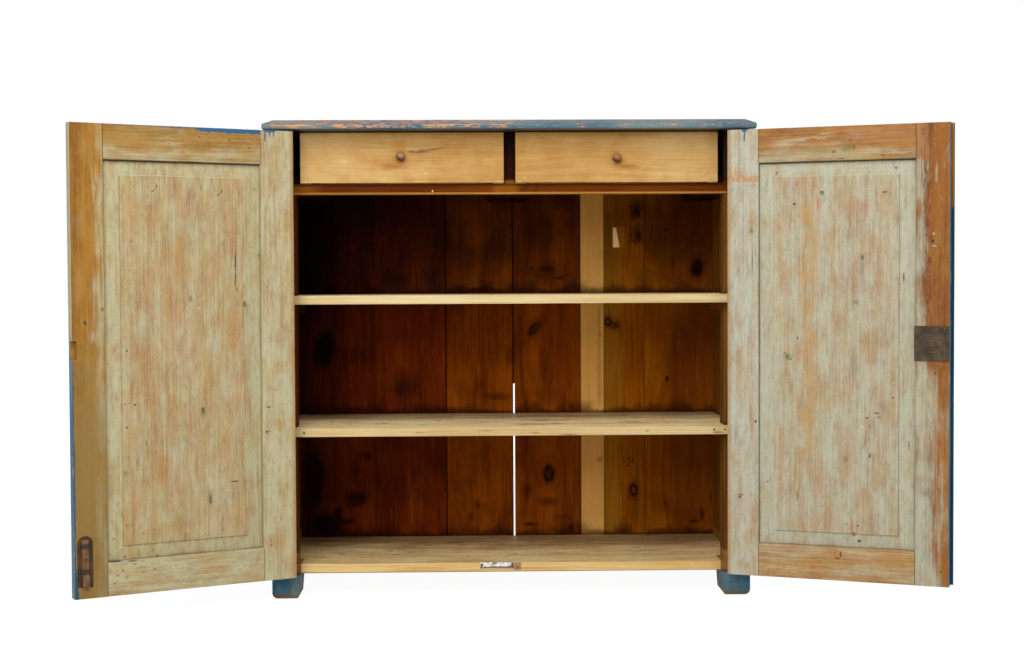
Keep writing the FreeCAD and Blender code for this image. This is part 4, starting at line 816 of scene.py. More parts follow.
def sooty_shaded_corner(at, colour):
    """Soot spots, and painted shade: nearly black up the left and at the top."""
    # painted shade where the left door and the drawers keep the light away
    left = at.x.ramp(-0.40, -0.56, 0, 0.75)
    high = at.z.ramp(0.45, 0.95, 0, 0.55)
    dark = (left + high).least(0.97)
    seam = band(at.x, -0.4625, -0.4605, 0.0008)
    low = at.z.ramp(0.37, 0.36)
    colour = colour.stain(seam * low, GRIME, 0.8)
    spots = [(-401, 181, 50, 30, -8), (-450, 140, 16, 26), (-372, 290, 14, 18, -30),
             (-430, 120, 34, 12)]
    colour = colour.stain(marks(ragged(at, 0.02, 0.04), spots, 0.3), SOOT_AND_SHADE, 0.8)
    wide = [(-484, 580, 38, 74, 8), (-515, 240, 40, 110), (-480, 110, 60, 50)]
    colour = colour.stain(marks(ragged(at, 0.03, 0.06), wide, 0.4), SOOT_AND_SHADE, 0.9)
    return colour.stain(dark, SOOT_AND_SHADE)


def second_board(at, colour):
    """Soot in spots and patches, mostly above the shelves."""
    spots = [(-103, 805, 5, 12), (-80, 160, 10, 22), (-98, 130, 12, 20), (-60, 735, 60, 14),
             (-30, 450, 60, 16)]
    return colour.stain(marks(ragged(at, 0.014, 0.03), spots, 0.1), GRIME, 0.6)


def dark_streak(at, colour):
    """A long dark streak low down, and painted shade towards the top."""
    streak = [(-250, 230, 4, 70), (-272, 480, 60, 60), (-300, 760, 80, 60), (-200, 770, 40, 50)]
    colour = colour.stain(marks(ragged(at, 0.012, 0.03), streak, 0.1), GRIME, 0.7)
    # painted shade towards the top, under the drawers
    return colour.stain(at.z.ramp(0.55, 0.95, 0, 0.4), SOOT_AND_SHADE)


def third_board(at, colour):
    """Soot in spots, and redder blotches low down."""
    spots = [(66, 790, 9, 8), (105, 790, 30, 12), (140, 765, 20, 8), (160, 772, 8, 5),
             (192, 508, 4, 5), (170, 100, 14, 14), (60, 108, 40, 8)]
    colour = colour.stain(marks(ragged(at, 0.01, 0.02), spots, 0.1), GRIME, 0.75)
    blotch = [(52, 200, 30, 40), (108, 172, 40, 20), (150, 128, 24, 8)]
    return colour.stain(marks(ragged(at, 0.03, 0.05), blotch, 0), (66, 22, 8), 0.7)


def new_strip(at, colour):
    """Small orange knots in the newer strip, and a pink streak."""
    spots = [(249, 614, 6, 7), (246, 280, 12, 9), (252, 288, 5, 7)]
    colour = colour.stain(marks(ragged(at, 0.006, 0.01), spots, 0.1), (190, 104, 34), 0.75)
    streak = band(at.x, 0.2425, 0.249, 0.003)
    middle = streak * band(at.z, 0.43, 0.69, 0.02)
    return colour.stain(middle, (176, 116, 78), 0.5)


def two_tones(at, colour):
    """Golden where a batten once covered the board, dark beyond its ragged edge."""
    wave = (at.face.cloud(0.05, 4) - 0.5) * 0.03
    beyond = (at.x + wave).ramp(0.3035, 0.3065)
    golden = mix(at.lines.ramp(0.35, 0.7), (172, 116, 30), (140, 86, 12))
    colour = mix(beyond, mix(0.8, colour, golden), colour)
    soft = marks(ragged(at, 0.03, 0.04), [(345, 945, 30, 40), (350, 880, 24, 40),
                                          (290, 640, 20, 26)], 0)
    colour = colour.stain(soft, (40, 14, 2), 0.85)
    knots = nearest(ragged(at, 0.006, 0.02), [(270, 648, 9, 11), (337, 197, 11, 18)])
    colour = colour.stain(knots.ramp(2.4, 0.8), KNOT_HEART, 0.6)
    colour = colour.stain(band(knots, 0.45, 1, 0.2), KNOT_RIM, 0.85)
    pocks = at.face.cloud(0.007, 1).ramp(0.54, 0.6)
    places = [(340, 940, 26, 34), (338, 870, 22, 34), (322, 275, 22, 26)]
    mask = pocks * marks(at.face, places, 0.4)
    return colour.stain(mask, GRIME, 0.85)


def torn_label(at, colour):
    """What is left of a paper label, and the paler square that it kept clean."""
    label = band(at.x, 0.284, 0.315, 0.0008) * band(at.z, 0.845, 0.9, 0.0008)
    colour = colour.stain(label, (150, 104, 40), 0.5)
    slope = at.z * -0.18 + 0.4535
    torn = band(at.z, 0.846, 0.898, 0.001) * at.x.ramp(0.283, 0.2838)
    torn = torn * (at.x - slope).ramp(0.0008, -0.0008)
    return colour.stain(torn, (255, 228, 158), 0.97)


def last_board(at, colour):
    """Golden-brown near the strip, redder beyond, with a crack and small dark knots."""
    redder = at.x.ramp(0.425, 0.45)
    colour = colour.stain(redder, (96, 34, 12), 0.45)
    knot = marks(ragged(at, 0.01, 0.02), [(508, 790, 24, 36, 6)], 0.2)
    colour = colour.stain(knot, (20, 5, 0), 0.9)
    spots = [(422, 160, 5, 9), (536, 885, 14, 2), (425, 894, 8, 6, 40), (428, 498, 5, 8),
             (534, 345, 12, 6), (520, 130, 10, 30), (500, 112, 20, 8), (545, 175, 3, 30)]
    return colour.stain(marks(ragged(at, 0.01, 0.02), spots, 0.2), GRIME, 0.75)


REDDISH = ((150, 74, 3), (100, 38, 0))
GOLDEN_BROWN = ((184, 108, 8), (134, 68, 2))
back_plank(1, (116, 42, 3), (68, 16, 1), 1.3, (0.05, 0.1), 0.15, [(-481, 585, 18, 40, 8)],
           sooty_shaded_corner, 0.7, 0.3)
back_plank(2, (118, 44, 3), (74, 20, 1), 2.1, (-0.3, 0.16), 0.15, extra=dark_streak)
back_plank(3, *REDDISH, 3.7, (-0.09, 0.1), 0.2, extra=second_board, soot_and_shade=0.75)
back_plank(4, *REDDISH, 4.2, (0.11, 0.05), 0.3, [(74, 631, 10, 20, 40), (110, 243, 14, 22)],
           third_board, 0.7)
back_plank(5, (242, 186, 100), (222, 164, 80), 5.4, (0.3, 0.15), 0.15, extra=new_strip, soot_and_shade=0.22,
           seam=0.5)
back_plank(6, *GOLDEN_BROWN, 6.6, (0.25, 0.12), 0.25, (), two_tones, 0.5, 0.4, torn_label)
back_plank(7, *GOLDEN_BROWN, 7.1, (0.47, 0.1), 0.2, [(508, 790, 15, 24, 4), (427, 494, 4, 6)],
           last_board, 0.6, 0.4)

# %% [markdown]
# ## Sides, posts and ledges
# The side boards and posts are blue outside and bare inside, so one test of place decides: which
# way is outside differs, but a layer of paint always lies on the far side of a plane. The posts'
# feet are painted in front and outside and stay bare where nobody looks, between them.

# %% Finish the sides and posts
INSIDE_BROWN = ((142, 92, 22), (98, 54, 8))
# painted shade: the left side's inner faces take this darker copy of the inside brown
SHADED_BROWN = ((96, 44, 8), (58, 20, 3))
POST_TAN = ((120, 78, 22), (86, 48, 10))


def half_painted(node, inside, seed, limit, sign=1, front=None):
    """Blue where x, times its sign, is past a limit, and in front of a plane; bare elsewhere."""
    at = wood_finish(node)
    colour, height = bare_pine(at, *inside, (0.1, 0.2), 0.006, seed, 0.35, 0.6)
    colour = grime(at, colour, 0.6, 0.03)
    # painted shade: nearly black beside the drawers, near the top
    colour = colour.stain(at.z.ramp(0.99, 1), SOOT_AND_SHADE, 0.93)
    colour = colour.stain(band(at.z, 0.056, 0.10, 0.004), (176, 128, 64), 0.6)
    colour = colour.stain(at.z.ramp(0.056, 0.054), (66, 84, 82), 0.92)
    outside = (at.x * sign - limit).ramp(-0.0004, 0.0004)
    if front is not None:
        outside = outside.most((at.y - front).ramp(0.0004, -0.0004))
    colour, height, paint = blue_paint(at, colour, height, outside, seed, 0.34)
    foot = at.z.ramp(0.06, 0.05)
    worn = at.face.cloud(0.012, 6, 0.7)
    colour = colour.stain(foot * worn.ramp(0.4, 0.6), (112, 116, 96), 0.5)
    low = worn * 0.016 + at.z.ramp(0, 0.06, -0.002, 0.05)
    colour = colour.stain(foot * low.ramp(0.0115, 0.0095), (108, 84, 50), 0.8)
    rough = paint.ramp(0, 1, 0.62, 0.5)
    dress(node, surface(at, colour, rough, height, arris=0.002, gloss=0.12))


BOARD_FACE, POST_FACE, FRONT_FACE = 0.5672, 0.5742, -0.0905
half_painted("side_boards_left", SHADED_BROWN, 11, BOARD_FACE, -1)
half_painted("side_boards_right", INSIDE_BROWN, 12, BOARD_FACE)
half_painted("rear_post_left", SHADED_BROWN, 13, POST_FACE, -1)
half_painted("rear_post_right", INSIDE_BROWN, 14, POST_FACE)
half_painted("front_post_left", SHADED_BROWN, 15, POST_FACE, -1, FRONT_FACE)
half_painted("front_post_right", POST_TAN, 16, POST_FACE, 1, FRONT_FACE)


def plain_bare(node, colours, seed, lay, dark_left=0):
    """Bare wood without marks, with painted shade on the left half where that is asked for."""
    at = wood_finish(node, "carcass", lay)
    colour, height = bare_pine(at, *colours, (0.1, 0.2), 0.006, seed, 0.4, 0.6)
    colour = colour.stain(at.x.ramp(0.1, -0.1), SOOT_AND_SHADE, dark_left)
    dress(node, surface(at, colour, 0.65, height, gloss=0.06))


plain_bare("shelf_ledges", INSIDE_BROWN, 17, "back", 0.85)
plain_bare("drawer_runners", ((58, 20, 2), (36, 10, 1)), 18, "back", 0.4)

# %% [markdown]
# ## Shelves
# Three boards carry the jars. Their front edges are rubbed pale, and their tops are greyed by a
# century of jars, with brown and blue-grey streaks that follow the grain. Streaks are a cloud
# pulled out along the board and cut high, so only its peaks are left.

# %% Finish the shelves
def shelf(node, top, seed, edge, worn, streak_tint, extra=None):
    """Bare board: edge colours in front, worn colours on top, brown below."""
    at = wood_finish(node, lay="across")
    front, height = bare_pine(at, *edge, (0.2, 0.12), 0.004, seed, 0.4, 0.6)
    broad = patches(at, 0.05, 0.16, seed + 4, 5).ramp(0.3, 0.7)
    upper = mix(broad, *worn)
    fine = at.grain.cloud((0.009, 0.024), 6, 0.7)
    upper = mix(at.lines.ramp(0.35, 0.75, 0, 0.4), upper, worn[1])
    here = at.grain.cloud((0.08, 0.2), 3).ramp(0.42, 0.6, 0.1, 1)
    dashes = fine.ramp(0.57, 0.62) * here
    upper = upper.stain(dashes * at.y.ramp(-0.04, 0.05, 0.3, 1), streak_tint, 0.85)
    grains = at.grain.cloud((0.004, 0.01), 5, 0.75)
    upper = upper.stain(grains.ramp(0.48, 0.7), (150, 112, 66), 0.48)
    upper = upper.stain(grains.ramp(0.48, 0.3), (255, 244, 210), 0.5)
    stained = at.grain.cloud((0.05, 0.16), 5, 0.6)
    stained = stained + at.y.ramp(0, 0.36, -0.06, 0.22)
    upper = upper.stain(stained.ramp(0.5, 0.72), (122, 78, 34), 0.45)
    if extra:
        upper, front = extra(at, upper, front)
    on_top = (at.z - top).ramp(-0.0008, -0.0002)
    below = (at.z - top).ramp(-0.0205, -0.0212)
    colour = mix(on_top, front, upper)
    colour = colour.stain(below, (120, 74, 30), 0.9)
    dress(node, surface(at, colour, 0.66, height, arris=0.003, gloss=0.15))


EDGE_CREAM = ((218, 194, 142), (192, 156, 96))
EDGE_PALE = ((226, 206, 156), (200, 168, 112))
EDGE_HONEY = ((232, 202, 136), (200, 156, 88))
WORN_TAN = ((255, 240, 190), (236, 200, 136))
WORN_GREY = ((240, 214, 156), (206, 170, 110))


def flat_marks(at, spots):
    """Marks on a level face, broken into dashes: x, y, half width and half depth in millimetres."""
    turned = ragged(at, 0.024, 0.03).to("ShaderNodeMapping", (0, 0, 0), (math.pi / 2, 0, 0))
    dashes = at.grain.cloud((0.007, 0.03), 4, 0.6)
    return marks(turned, spots, 0) * dashes.ramp(0.4, 0.52)


def board_marks(at, upper, front):
    """Blue-grey dashes on the lowest board, and rust beside the bolt's keeper."""
    dashes = [(-249, 98, 44, 11), (-142, 252, 32, 13), (-118, 208, 26, 12), (-70, 230, 22, 12),
              (-128, 142, 30, 10), (-405, 335, 36, 16), (-482, 142, 8, 14), (-419, 76, 14, 11),
              (-449, 54, 12, 9), (-301, 120, 14, 11), (-209, 208, 18, 12), (92, 208, 26, 11),
              (120, 76, 20, 8), (221, 274, 24, 13), (247, 208, 20, 11), (319, 142, 16, 10),
              (375, 335, 40, 16), (31, 186, 14, 12), (-13, 214, 32, 13), (440, 120, 16, 10),
              (-60, 90, 16, 8)]
    upper = upper.stain(flat_marks(at, dashes), (56, 48, 40), 0.9)
    beside = band(at.x, 0.006, 0.023, 0.002) * at.z.ramp(0.058, 0.061)
    uneven = at.face.cloud(0.006, 3).ramp(0.35, 0.6, 0.5, 1)
    front = front.stain(beside * uneven, (136, 84, 56), 0.85)
    notch = marks(ragged(at, 0.003, 0.006), [(14, 67, 3, 3)], 0.4)
    return upper, front.stain(notch, (58, 34, 22), 0.85)


def shelf_marks(at, upper, front):
    streaks = [(89, 134, 90, 70), (60, 20, 90, 50), (180, 250, 60, 50), (300, 60, 50, 60),
               (-400, 100, 40, 60)]
    upper = upper.stain(flat_marks(at, streaks), (160, 106, 50), 0.7)
    dashes = [(40, 250, 26, 30), (309, 270, 16, 30), (-214, 14, 16, 22), (-310, 64, 10, 22),
              (-445, 134, 9, 24), (221, 262, 30, 26), (330, 200, 20, 24), (118, 34, 34, 22),
              (38, 14, 24, 20), (90, 120, 30, 20), (150, 160, 14, 20)]
    upper = upper.stain(flat_marks(at, dashes), (86, 54, 24), 0.8)
    spots = [(60, 392, 16, 2.2), (-60, 397, 40, 2), (140, 388, 30, 2), (-220, 394, 20, 1.6),
             (330, 395, 6, 4), (500, 390, 20, 4)]
    return upper, front.stain(marks(ragged(at, 0.004, 0.01), spots, 0.2), (140, 88, 40), 0.7)


low, middle, high = SHELF_TOPS
shelf("upper_shelf", high, 21, EDGE_PALE, WORN_TAN, (120, 78, 34))
shelf("middle_shelf", middle, 22, EDGE_CREAM, WORN_TAN, (128, 84, 40), shelf_marks)
shelf("bottom_board", low, 23, EDGE_HONEY, WORN_GREY, (96, 76, 48), board_marks)

# %% [markdown]
# ## Rail and divider
# The rail under the drawers is painted dark brown as the shade that the drawers cast on it, with
# painted light below the gap between the drawers and at its left end, and a painted highlight
# along its lower arris. The divider between the drawers is painted dark as the shade between
# them, darker towards the top, with painted light at its foot.

# %% Finish the rail and the divider
at = wood_finish("drawer_rail", "carcass", "across")
# painted shade: the rail's dark brown stands in for the drawers' shadow
colour, height = bare_pine(at, (110, 52, 2), (76, 28, 0), (0.9, 0.2), 0.005, 31, 0.3, 0.6)
# painted light: a lit patch below the gap between the drawers, and at the left end
golden = band(at.x, -0.04, 0.02, 0.01).most(at.x.ramp(-0.44, -0.5))
colour = colour.stain(golden, (150, 92, 20), 0.5)
specks = at.face.cloud(0.006, 2).ramp(0.45, 0.55)
specks = specks * band(at.x, 0.02, 0.07, 0.006)
colour = colour.stain(specks, (62, 30, 10), 0.6)
colour = colour.stain(marks(at.face, [(-186, 976, 2.2, 4)], 0.4), (226, 206, 160), 0.9)
# painted highlight along the lower arris
arris = at.z.ramp(0.9745, 0.9715)
arris = arris * at.lines.ramp(0.25, 0.6, 0.6, 1)
colour = colour.stain(arris, (190, 138, 62), 0.75)
# painted shade just under the drawer fronts
shade = at.z.ramp(0.984, 0.992) * at.y.ramp(-0.03, -0.04)
colour = colour.stain(shade, (52, 22, 6), 0.7)
dress("drawer_rail", surface(at, colour, 0.6, height, arris=0.0025, gloss=0.04))

at = wood_finish("drawer_divider")
# painted shade: the divider's dark colour and its darker top stand for the shade between the drawers
colour, height = bare_pine(at, (54, 15, 3), (32, 8, 2), (0.1, 0.05), 0.004, 32)
colour = colour.stain(at.z.ramp(1.02, 1.09), (22, 10, 6), 0.85)
# painted light at the foot
colour = colour.stain(at.z.ramp(1.006, 0.998), (150, 104, 40), 0.7)
dress("drawer_divider", surface(at, colour, 0.62, height, gloss=0.03))

# %% [markdown]
# ## Drawers
# Clear honey pine, the brightest wood of the piece, with its grain running across. The left front
# has a dark resin streak beside the knob, and both are browner just below the knobs: wood
# darkened by fingers, with the knobs' shadows painted in. Sides, backs and bottoms are plainer and
# darker.

# %% Finish the drawers
HONEY = ((202, 162, 98), (176, 128, 62))


def drawer_front(side, seed, heart, worn, pale_from, deep_from, extra):
    node = side + "_drawer_front"
    at = wood_finish(node, "carcass", "across")
    colour, height = bare_pine(at, *HONEY, heart, 0.011, seed, 0.3, 0.75)
    wide = patches(at, 0.03, 0.2, seed + 1).ramp(0.35, 0.75, 0, 0.5)
    colour = mix(wide, colour, (180, 132, 66))
    blotches = (at.face + (seed, 0, seed)).cloud(0.06, 5, 0.6)
    colour = colour.stain(blotches.ramp(0.44, 0.68), (172, 114, 36), 0.6)
    colour = colour.stain(blotches.ramp(0.42, 0.28), (216, 186, 132), 0.45)
    fine = at.grain.cloud((0.005, 0.14), 6, 0.7)
    colour = colour.stain(fine.ramp(0.5, 0.7), (156, 104, 36), 0.24)
    colour = colour.stain(fine.ramp(0.5, 0.3), (224, 190, 130), 0.2)
    colour = colour.stain(at.x.ramp(*pale_from), (220, 188, 128), 0.28)
    colour = colour.stain(at.x.ramp(*deep_from), (178, 130, 62), 0.35)
    # browner below each knob: finger wear and a painted shadow of the knob
    rubbed_and_shaded = marks(ragged(at, 0.01, 0.03), worn, 0)
    colour = colour.stain(rubbed_and_shaded, (154, 96, 22), 0.8)
    for spots, tint, strength, edge in extra:
        colour = colour.stain(marks(ragged(at, 0.004, 0.012), spots, edge), tint, strength)
    dress(node, surface(at, colour, 0.5, height, arris=0.002, gloss=0.2))


STREAK, CHIP = (96, 60, 52), (240, 216, 160)
RUBBED_AND_SHADED_LEFT = [(-264, 1046, 34, 20), (-280, 1036, 60, 14), (-262, 1050, 14, 18)]
RUBBED_AND_SHADED_RIGHT = [(262, 1044, 34, 18), (280, 1034, 50, 12), (259, 1048, 14, 16)]
drawer_front("left", 41, (-1.02, 0.16), RUBBED_AND_SHADED_LEFT, (-0.26, -0.44), (-0.24, -0.14), [
    ([(-212, 1071, 40, 8, -8), (-180, 1076, 40, 4, -8), (-236, 1071, 16, 5)], STREAK, 0.8, 0),
    ([(-135, 1097, 30, 1.4, -16)], (150, 100, 56), 0.6, 0),
    ([(-202, 1019, 8, 2), (-492, 998, 14, 2), (-24, 997, 10, 2)], CHIP, 0.5, 0.2),
])
drawer_front("right", 42, (-1.06, 0.14), RUBBED_AND_SHADED_RIGHT, (0.28, 0.4), (0.3, 0.18), [
    ([(250, 1046, 90, 3), (400, 1050, 60, 3), (120, 1040, 50, 2.4)], (168, 124, 88), 0.45, 0),
    ([(470, 1010, 40, 1.6, -24), (460, 1024, 40, 1.4, -24), (480, 1000, 30, 1.4, -24)],
     (160, 108, 56), 0.5, 0),
    ([(36, 1006, 3, 3), (24, 998, 9, 2)], CHIP, 0.5, 0.2),
])
for number, side in enumerate(("left", "right")):
    for part, lay in (("sides", "back"), ("back", "across"), ("bottom", "back")):
        plain_bare(f"{side}_drawer_{part}", ((204, 160, 98), (160, 112, 58)),
                   43 + number * 5 + len(part), lay)

# %% [markdown]
# ## The top
# The top board's paint has faded to blue-grey and flaked along its nosing in long chips, thickly
# on the left and hardly at all on the right, so the wear level itself slopes from one end to the
# other.

# %% Finish the top
at = wood_finish("top_board", "carcass", "across")
colour, height = bare_pine(at, (206, 152, 98), (176, 110, 60), (1.4, 0.5), 0.006, 51, 0.4)
wear = at.x.ramp(-0.02, 0.06, 0.48, 0.41) + at.z.ramp(1.121, 1.124, -0.2, 0)
wear = wear + at.x.ramp(-0.56, -0.58, 0, -0.12) + at.y.ramp(-0.075, -0.04) * -0.12
shades = ((50, 90, 108), (104, 124, 126))
everywhere = at.z.ramp(1.1195, 1.1202)
# painted shade: dark under the nosing
colour = colour.stain(at.z.ramp(1.1204, 1.1196), (34, 22, 14), 0.9)
colour, height, paint = blue_paint(at, colour, height, everywhere, 51, wear, shades, 0.6,
                                   (0.0036, 0.026))
dress("top_board", surface(at, colour, 0.42, height, arris=0.002, gloss=0.35))

# %% [markdown]
# ## The meeting strip
# A thin strip on the right door's outer face covers the gap when both doors are shut. Its blue
# is darker than elsewhere, painted shade on the face that turns to the room when the door is
# open, and it is brown where it wore at the top.

# %% Finish the meeting strip
at = wood_finish("meeting_strip", "right_door")
colour, height = bare_pine(at, *BARE_ORANGE, (0.4, 0.1), 0.005, 61, 0.4)
ragged_edge = at.face.cloud((0.006, 0.05), 6, 0.7)
kept = (ragged_edge * 0.3 + at.z).ramp(1.09, 1.07)
# darker blue: painted shade on the strip
colour, height, paint = blue_paint(at, colour, height, kept, 61, 0.34,
                                   ((12, 58, 84), (24, 78, 100)))
dress("meeting_strip", surface(at, colour, 0.5, height))

# %% [markdown]
# ## Iron
# The irons are forged plate, brown-grey with old oil and rust, and duller than new steel. Rust is
# a cloud cut softly, and pits are a second, finer one that the bump reads. The keeper in the
# bottom board is rubbed bright by the bolt.

# %% Finish the irons
def iron(node, place="carcass", dark=(50, 40, 26), light=(76, 64, 44), rusty=0.5, metal=0.55,
         rough=0.5, extra=None):
    at = wood_finish(node, place)
    broad = at.face.cloud(0.02, 4).ramp(0.35, 0.65)
    fine = at.face.cloud(0.003, 4, 0.7)
    colour = mix(broad, dark, light)
    colour = colour.stain(fine.ramp(0.5, 0.72), (48, 40, 34), 0.6)
    rust = at.face.cloud(0.012, 5, 0.65).ramp(0.66 - rusty * 0.2, 0.8 - rusty * 0.2)
    colour = colour.stain(rust, (88, 54, 32), 0.6)
    if extra:
        colour = extra(at, colour)
    dress(node, surface(at, colour, rust.ramp(0, 1, rough, 0.8), fine, 0.0008, metal=metal,
                        gloss=0.4))


def lock_face(at, colour):
    """A faint arc that a keyhole cover scratched, and rust low on one side."""
    far = ((at.face - (0.470, 0, 0.607)) * (1, 0, 1)).length()
    arc = band(far, 0.0245, 0.0265, 0.0008) * at.z.ramp(0.604, 0.61)
    colour = colour.stain(arc, (128, 116, 100), 0.22)
    spots = [(474, 594, 3, 2), (484, 592, 5, 3), (494, 590, 3, 3), (490, 598, 3, 2),
             (500, 600, 2, 2)]
    return colour.stain(marks(ragged(at), spots, 0.4), (122, 62, 26), 0.8)


def worn_keeper(at, colour):
    bright = at.face.cloud((0.012, 0.006), 4, 0.6).ramp(0.4, 0.56)
    colour = colour.stain(bright, (232, 228, 214), 0.9)
    wave = at.face.cloud(0.006, 3) * 0.008 + at.z
    colour = colour.stain(wave.ramp(0.0735, 0.0715), (88, 62, 40), 0.85)
    return colour.stain(marks(ragged(at), [(-72, 72, 4, 7), (2, 72, 4, 7), (-40, 76, 8, 1.6)], 0.4),
                        (60, 46, 34), 0.85)


iron("lock_plate", "right_door", extra=lock_face)
iron("lock_bolt", "right_door", (120, 116, 110), (150, 146, 140), 0.1)
iron("flush_bolt_plate", "left_door", (50, 30, 12), (80, 52, 22), 0.7, 0, 0.7)
iron("flush_bolt_guides", "left_door", (26, 15, 8), (46, 29, 16), 0.5, 0)
iron("flush_bolt_bar", "left_door", (86, 54, 28), (124, 86, 50), 0.4, 0, 0.6)
iron("bolt_keeper", dark=(150, 144, 136), light=(196, 190, 182), rusty=0, metal=0.6, rough=0.34,
     extra=worn_keeper)
for node, place in (("post_hinge_leaves", "carcass"), ("hinge_pins", "carcass"),
                    ("left_door_hinge_leaves", "left_door"),
                    ("right_door_hinge_leaves", "right_door")):
    iron(node, place, (70, 58, 50), (98, 84, 72), 0.5)

# %% [markdown]
# ## Knob wood
# The knobs are turned from harder wood, so on the head the lathe shows rings of end grain round
# the knob's own axis. Greyish-pink bloom lies on both, and the right one is rubbed red-brown in
# the middle.

# %% Mix knob wood
def knob_wood(name, x, z, heart, rim):
    at = wood_finish(name)
    centre = (x, 0, z)
    flat = (at.face - centre) * (1, 0, 1)
    radius = flat.length()
    wavy = at.face.cloud(0.01) * 0.003 + radius
    rings = (wavy / 0.0016).fraction().ramp(0.2, 0.9)
    rays = at.face.cloud(0.002, 3)
    colour = mix(radius.ramp(0.002, 0.009), heart, rim)
    colour = mix(rings * 0.3, colour, (92, 58, 30))
    colour = colour.stain(rays.ramp(0.5, 0.75), (198, 152, 98), 0.22)
    # painted shade on the lower side of the head
    shaded_underside = at.x * 0.3 + at.z - (z + 0.3 * x)
    colour = colour.stain(shaded_underside.ramp(0.002, -0.0085), (62, 20, 4), 0.9)
    neck = at.y.ramp(-0.058, -0.054)
    colour = colour.stain(neck, (92, 50, 24), 0.7)
    height = rings * 0.3 + rays
    return surface(at, colour, 0.45, height, 0.0003, 0.0006, gloss=0.3)


print("finishes:", len(bpy.data.materials))

# %% [markdown]
# ## Turned knobs
# A drawer knob is turned between centres: a short neck, a swelling and a domed head worn flat by
# fingers. A profile spun about its axis is how the lathe makes it too. The rings are written out
# as radius and height, spun once round, and closed with a pole at each end.

# %% Turn a knob
def knob(name, drawer, x, z, face=-0.05236, steps=48):
    """A knob on a drawer's face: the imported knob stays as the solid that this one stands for."""
    profile = [(6.4, -3), (6.4, 0), (6, 0.6), (5.7, 1.8), (6.1, 3), (7.6, 4.1), (9.6, 5.1),
               (10.7, 6.2), (11, 7.4), (10.8, 8.7), (10.1, 10), (8.9, 11.2), (7.2, 12.1),
               (5.2, 12.6), (2.6, 12.85)]
    turning = bmesh.new()
    rings = []
    for radius, height in profile:
        ring = []
        for step in range(steps):
            angle = 2 * math.pi * step / steps
            place = (x + radius * math.cos(angle) / 1000, face - height / 1000,
                     z + radius * math.sin(angle) / 1000)
            ring.append(turning.verts.new(place))
        rings.append(ring)
    for low, high in zip(rings, rings[1:]):
        for step in range(steps):
            after = (step + 1) % steps
            turning.faces.new((low[step], low[after], high[after], high[step]))
    for ring, height in ((rings[0], profile[0][1]), (rings[-1], 12.95)):
        pole = turning.verts.new((x, face - height / 1000, z))
        for step in range(steps):
            turning.faces.new((ring[step], ring[(step + 1) % steps], pole))
    bmesh.ops.recalc_face_normals(turning, faces=turning.faces)
    mesh = bpy.data.meshes.new(name)
    turning.to_mesh(mesh)
    turning.free()
    mesh.shade_smooth()
    piece = bpy.data.objects.new(name, mesh)
    bpy.context.collection.objects.link(piece)
    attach(piece, drawer)
    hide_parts(drawer + "_knob")
    print(name, "has", len(mesh.polygons), "faces")
    return piece


KNOB_PLACES = {"left": (-0.26175, 1.05925), "right": (0.25875, 1.05425)}
KNOB_TONES = {"left": ((160, 126, 82), (140, 106, 66)), "right": ((172, 84, 4), (146, 102, 54))}
for side, place in KNOB_PLACES.items():
    piece = knob(side + "_turned_knob", side + "_drawer", *place)
    piece.data.materials.append(knob_wood(side + "_knob_wood", *place, *KNOB_TONES[side]))

# %% [markdown]
# ## Nails
# Hand-cut nails hold the irons and the back boards, and small screws the hinges. Copying one head
# by hand to every place would do, but a Geometry Nodes tree does it from a list of places, and a
# wider head or another seed then changes all of them at once. Each place carries the direction
# that its head faces, the tree sets a domed head there, sunk by half, and varies its size a
# little.

# %% Build the tree that sets nail heads
def nail_tree(material):
    tree = bpy.data.node_groups.new("nail_heads", "GeometryNodeTree")
    tree.interface.new_socket("Geometry", in_out="INPUT", socket_type="NodeSocketGeometry")
    for name, kind, value in (("Head radius", "Float", 0.0022), ("Head height", "Float", 0.0009),
                              ("Seed", "Int", 3)):
        socket = tree.interface.new_socket(name, in_out="INPUT", socket_type="NodeSocket" + kind)
        socket.default_value = value
    tree.interface.new_socket("Geometry", in_out="OUTPUT", socket_type="NodeSocketGeometry")

    entry = {name: Outlet(socket) for name, socket in add(tree, "NodeGroupInput").outputs.items()}

    def hand_on(kind, inlets, outlet=0, **settings):
        """A node with its inlets filled by name or number, and one outlet of it."""
        made = add(tree, kind, **settings)
        fill(made, inlets)
        return Outlet(made.outputs[outlet])

    head = hand_on("GeometryNodeMeshUVSphere", {"Segments": 12, "Rings": 7, "Radius": 1})
    size = {0: entry["Head radius"], 1: entry["Head radius"], 2: entry["Head height"]}
    size = hand_on("ShaderNodeCombineXYZ", size)
    head = hand_on("GeometryNodeTransform", {"Geometry": head, "Scale": size})
    facing = hand_on("GeometryNodeInputNamedAttribute", {"Name": "facing"},
                     data_type="FLOAT_VECTOR")
    turn = hand_on("FunctionNodeAlignEulerToVector", {"Vector": facing}, axis="Z")
    uneven = hand_on("FunctionNodeRandomValue", {2: 0.8, 3: 1.15, "Seed": entry["Seed"]}, 1)
    heads = {"Points": entry["Geometry"], "Instance": head, "Rotation": turn, "Scale": uneven}
    heads = hand_on("GeometryNodeInstanceOnPoints", heads)
    heads = hand_on("GeometryNodeRealizeInstances", {"Geometry": heads})
    heads = hand_on("GeometryNodeSetMaterial", {"Geometry": heads, "Material": material})
    fill(add(tree, "NodeGroupOutput"), {"Geometry": heads})
    return tree


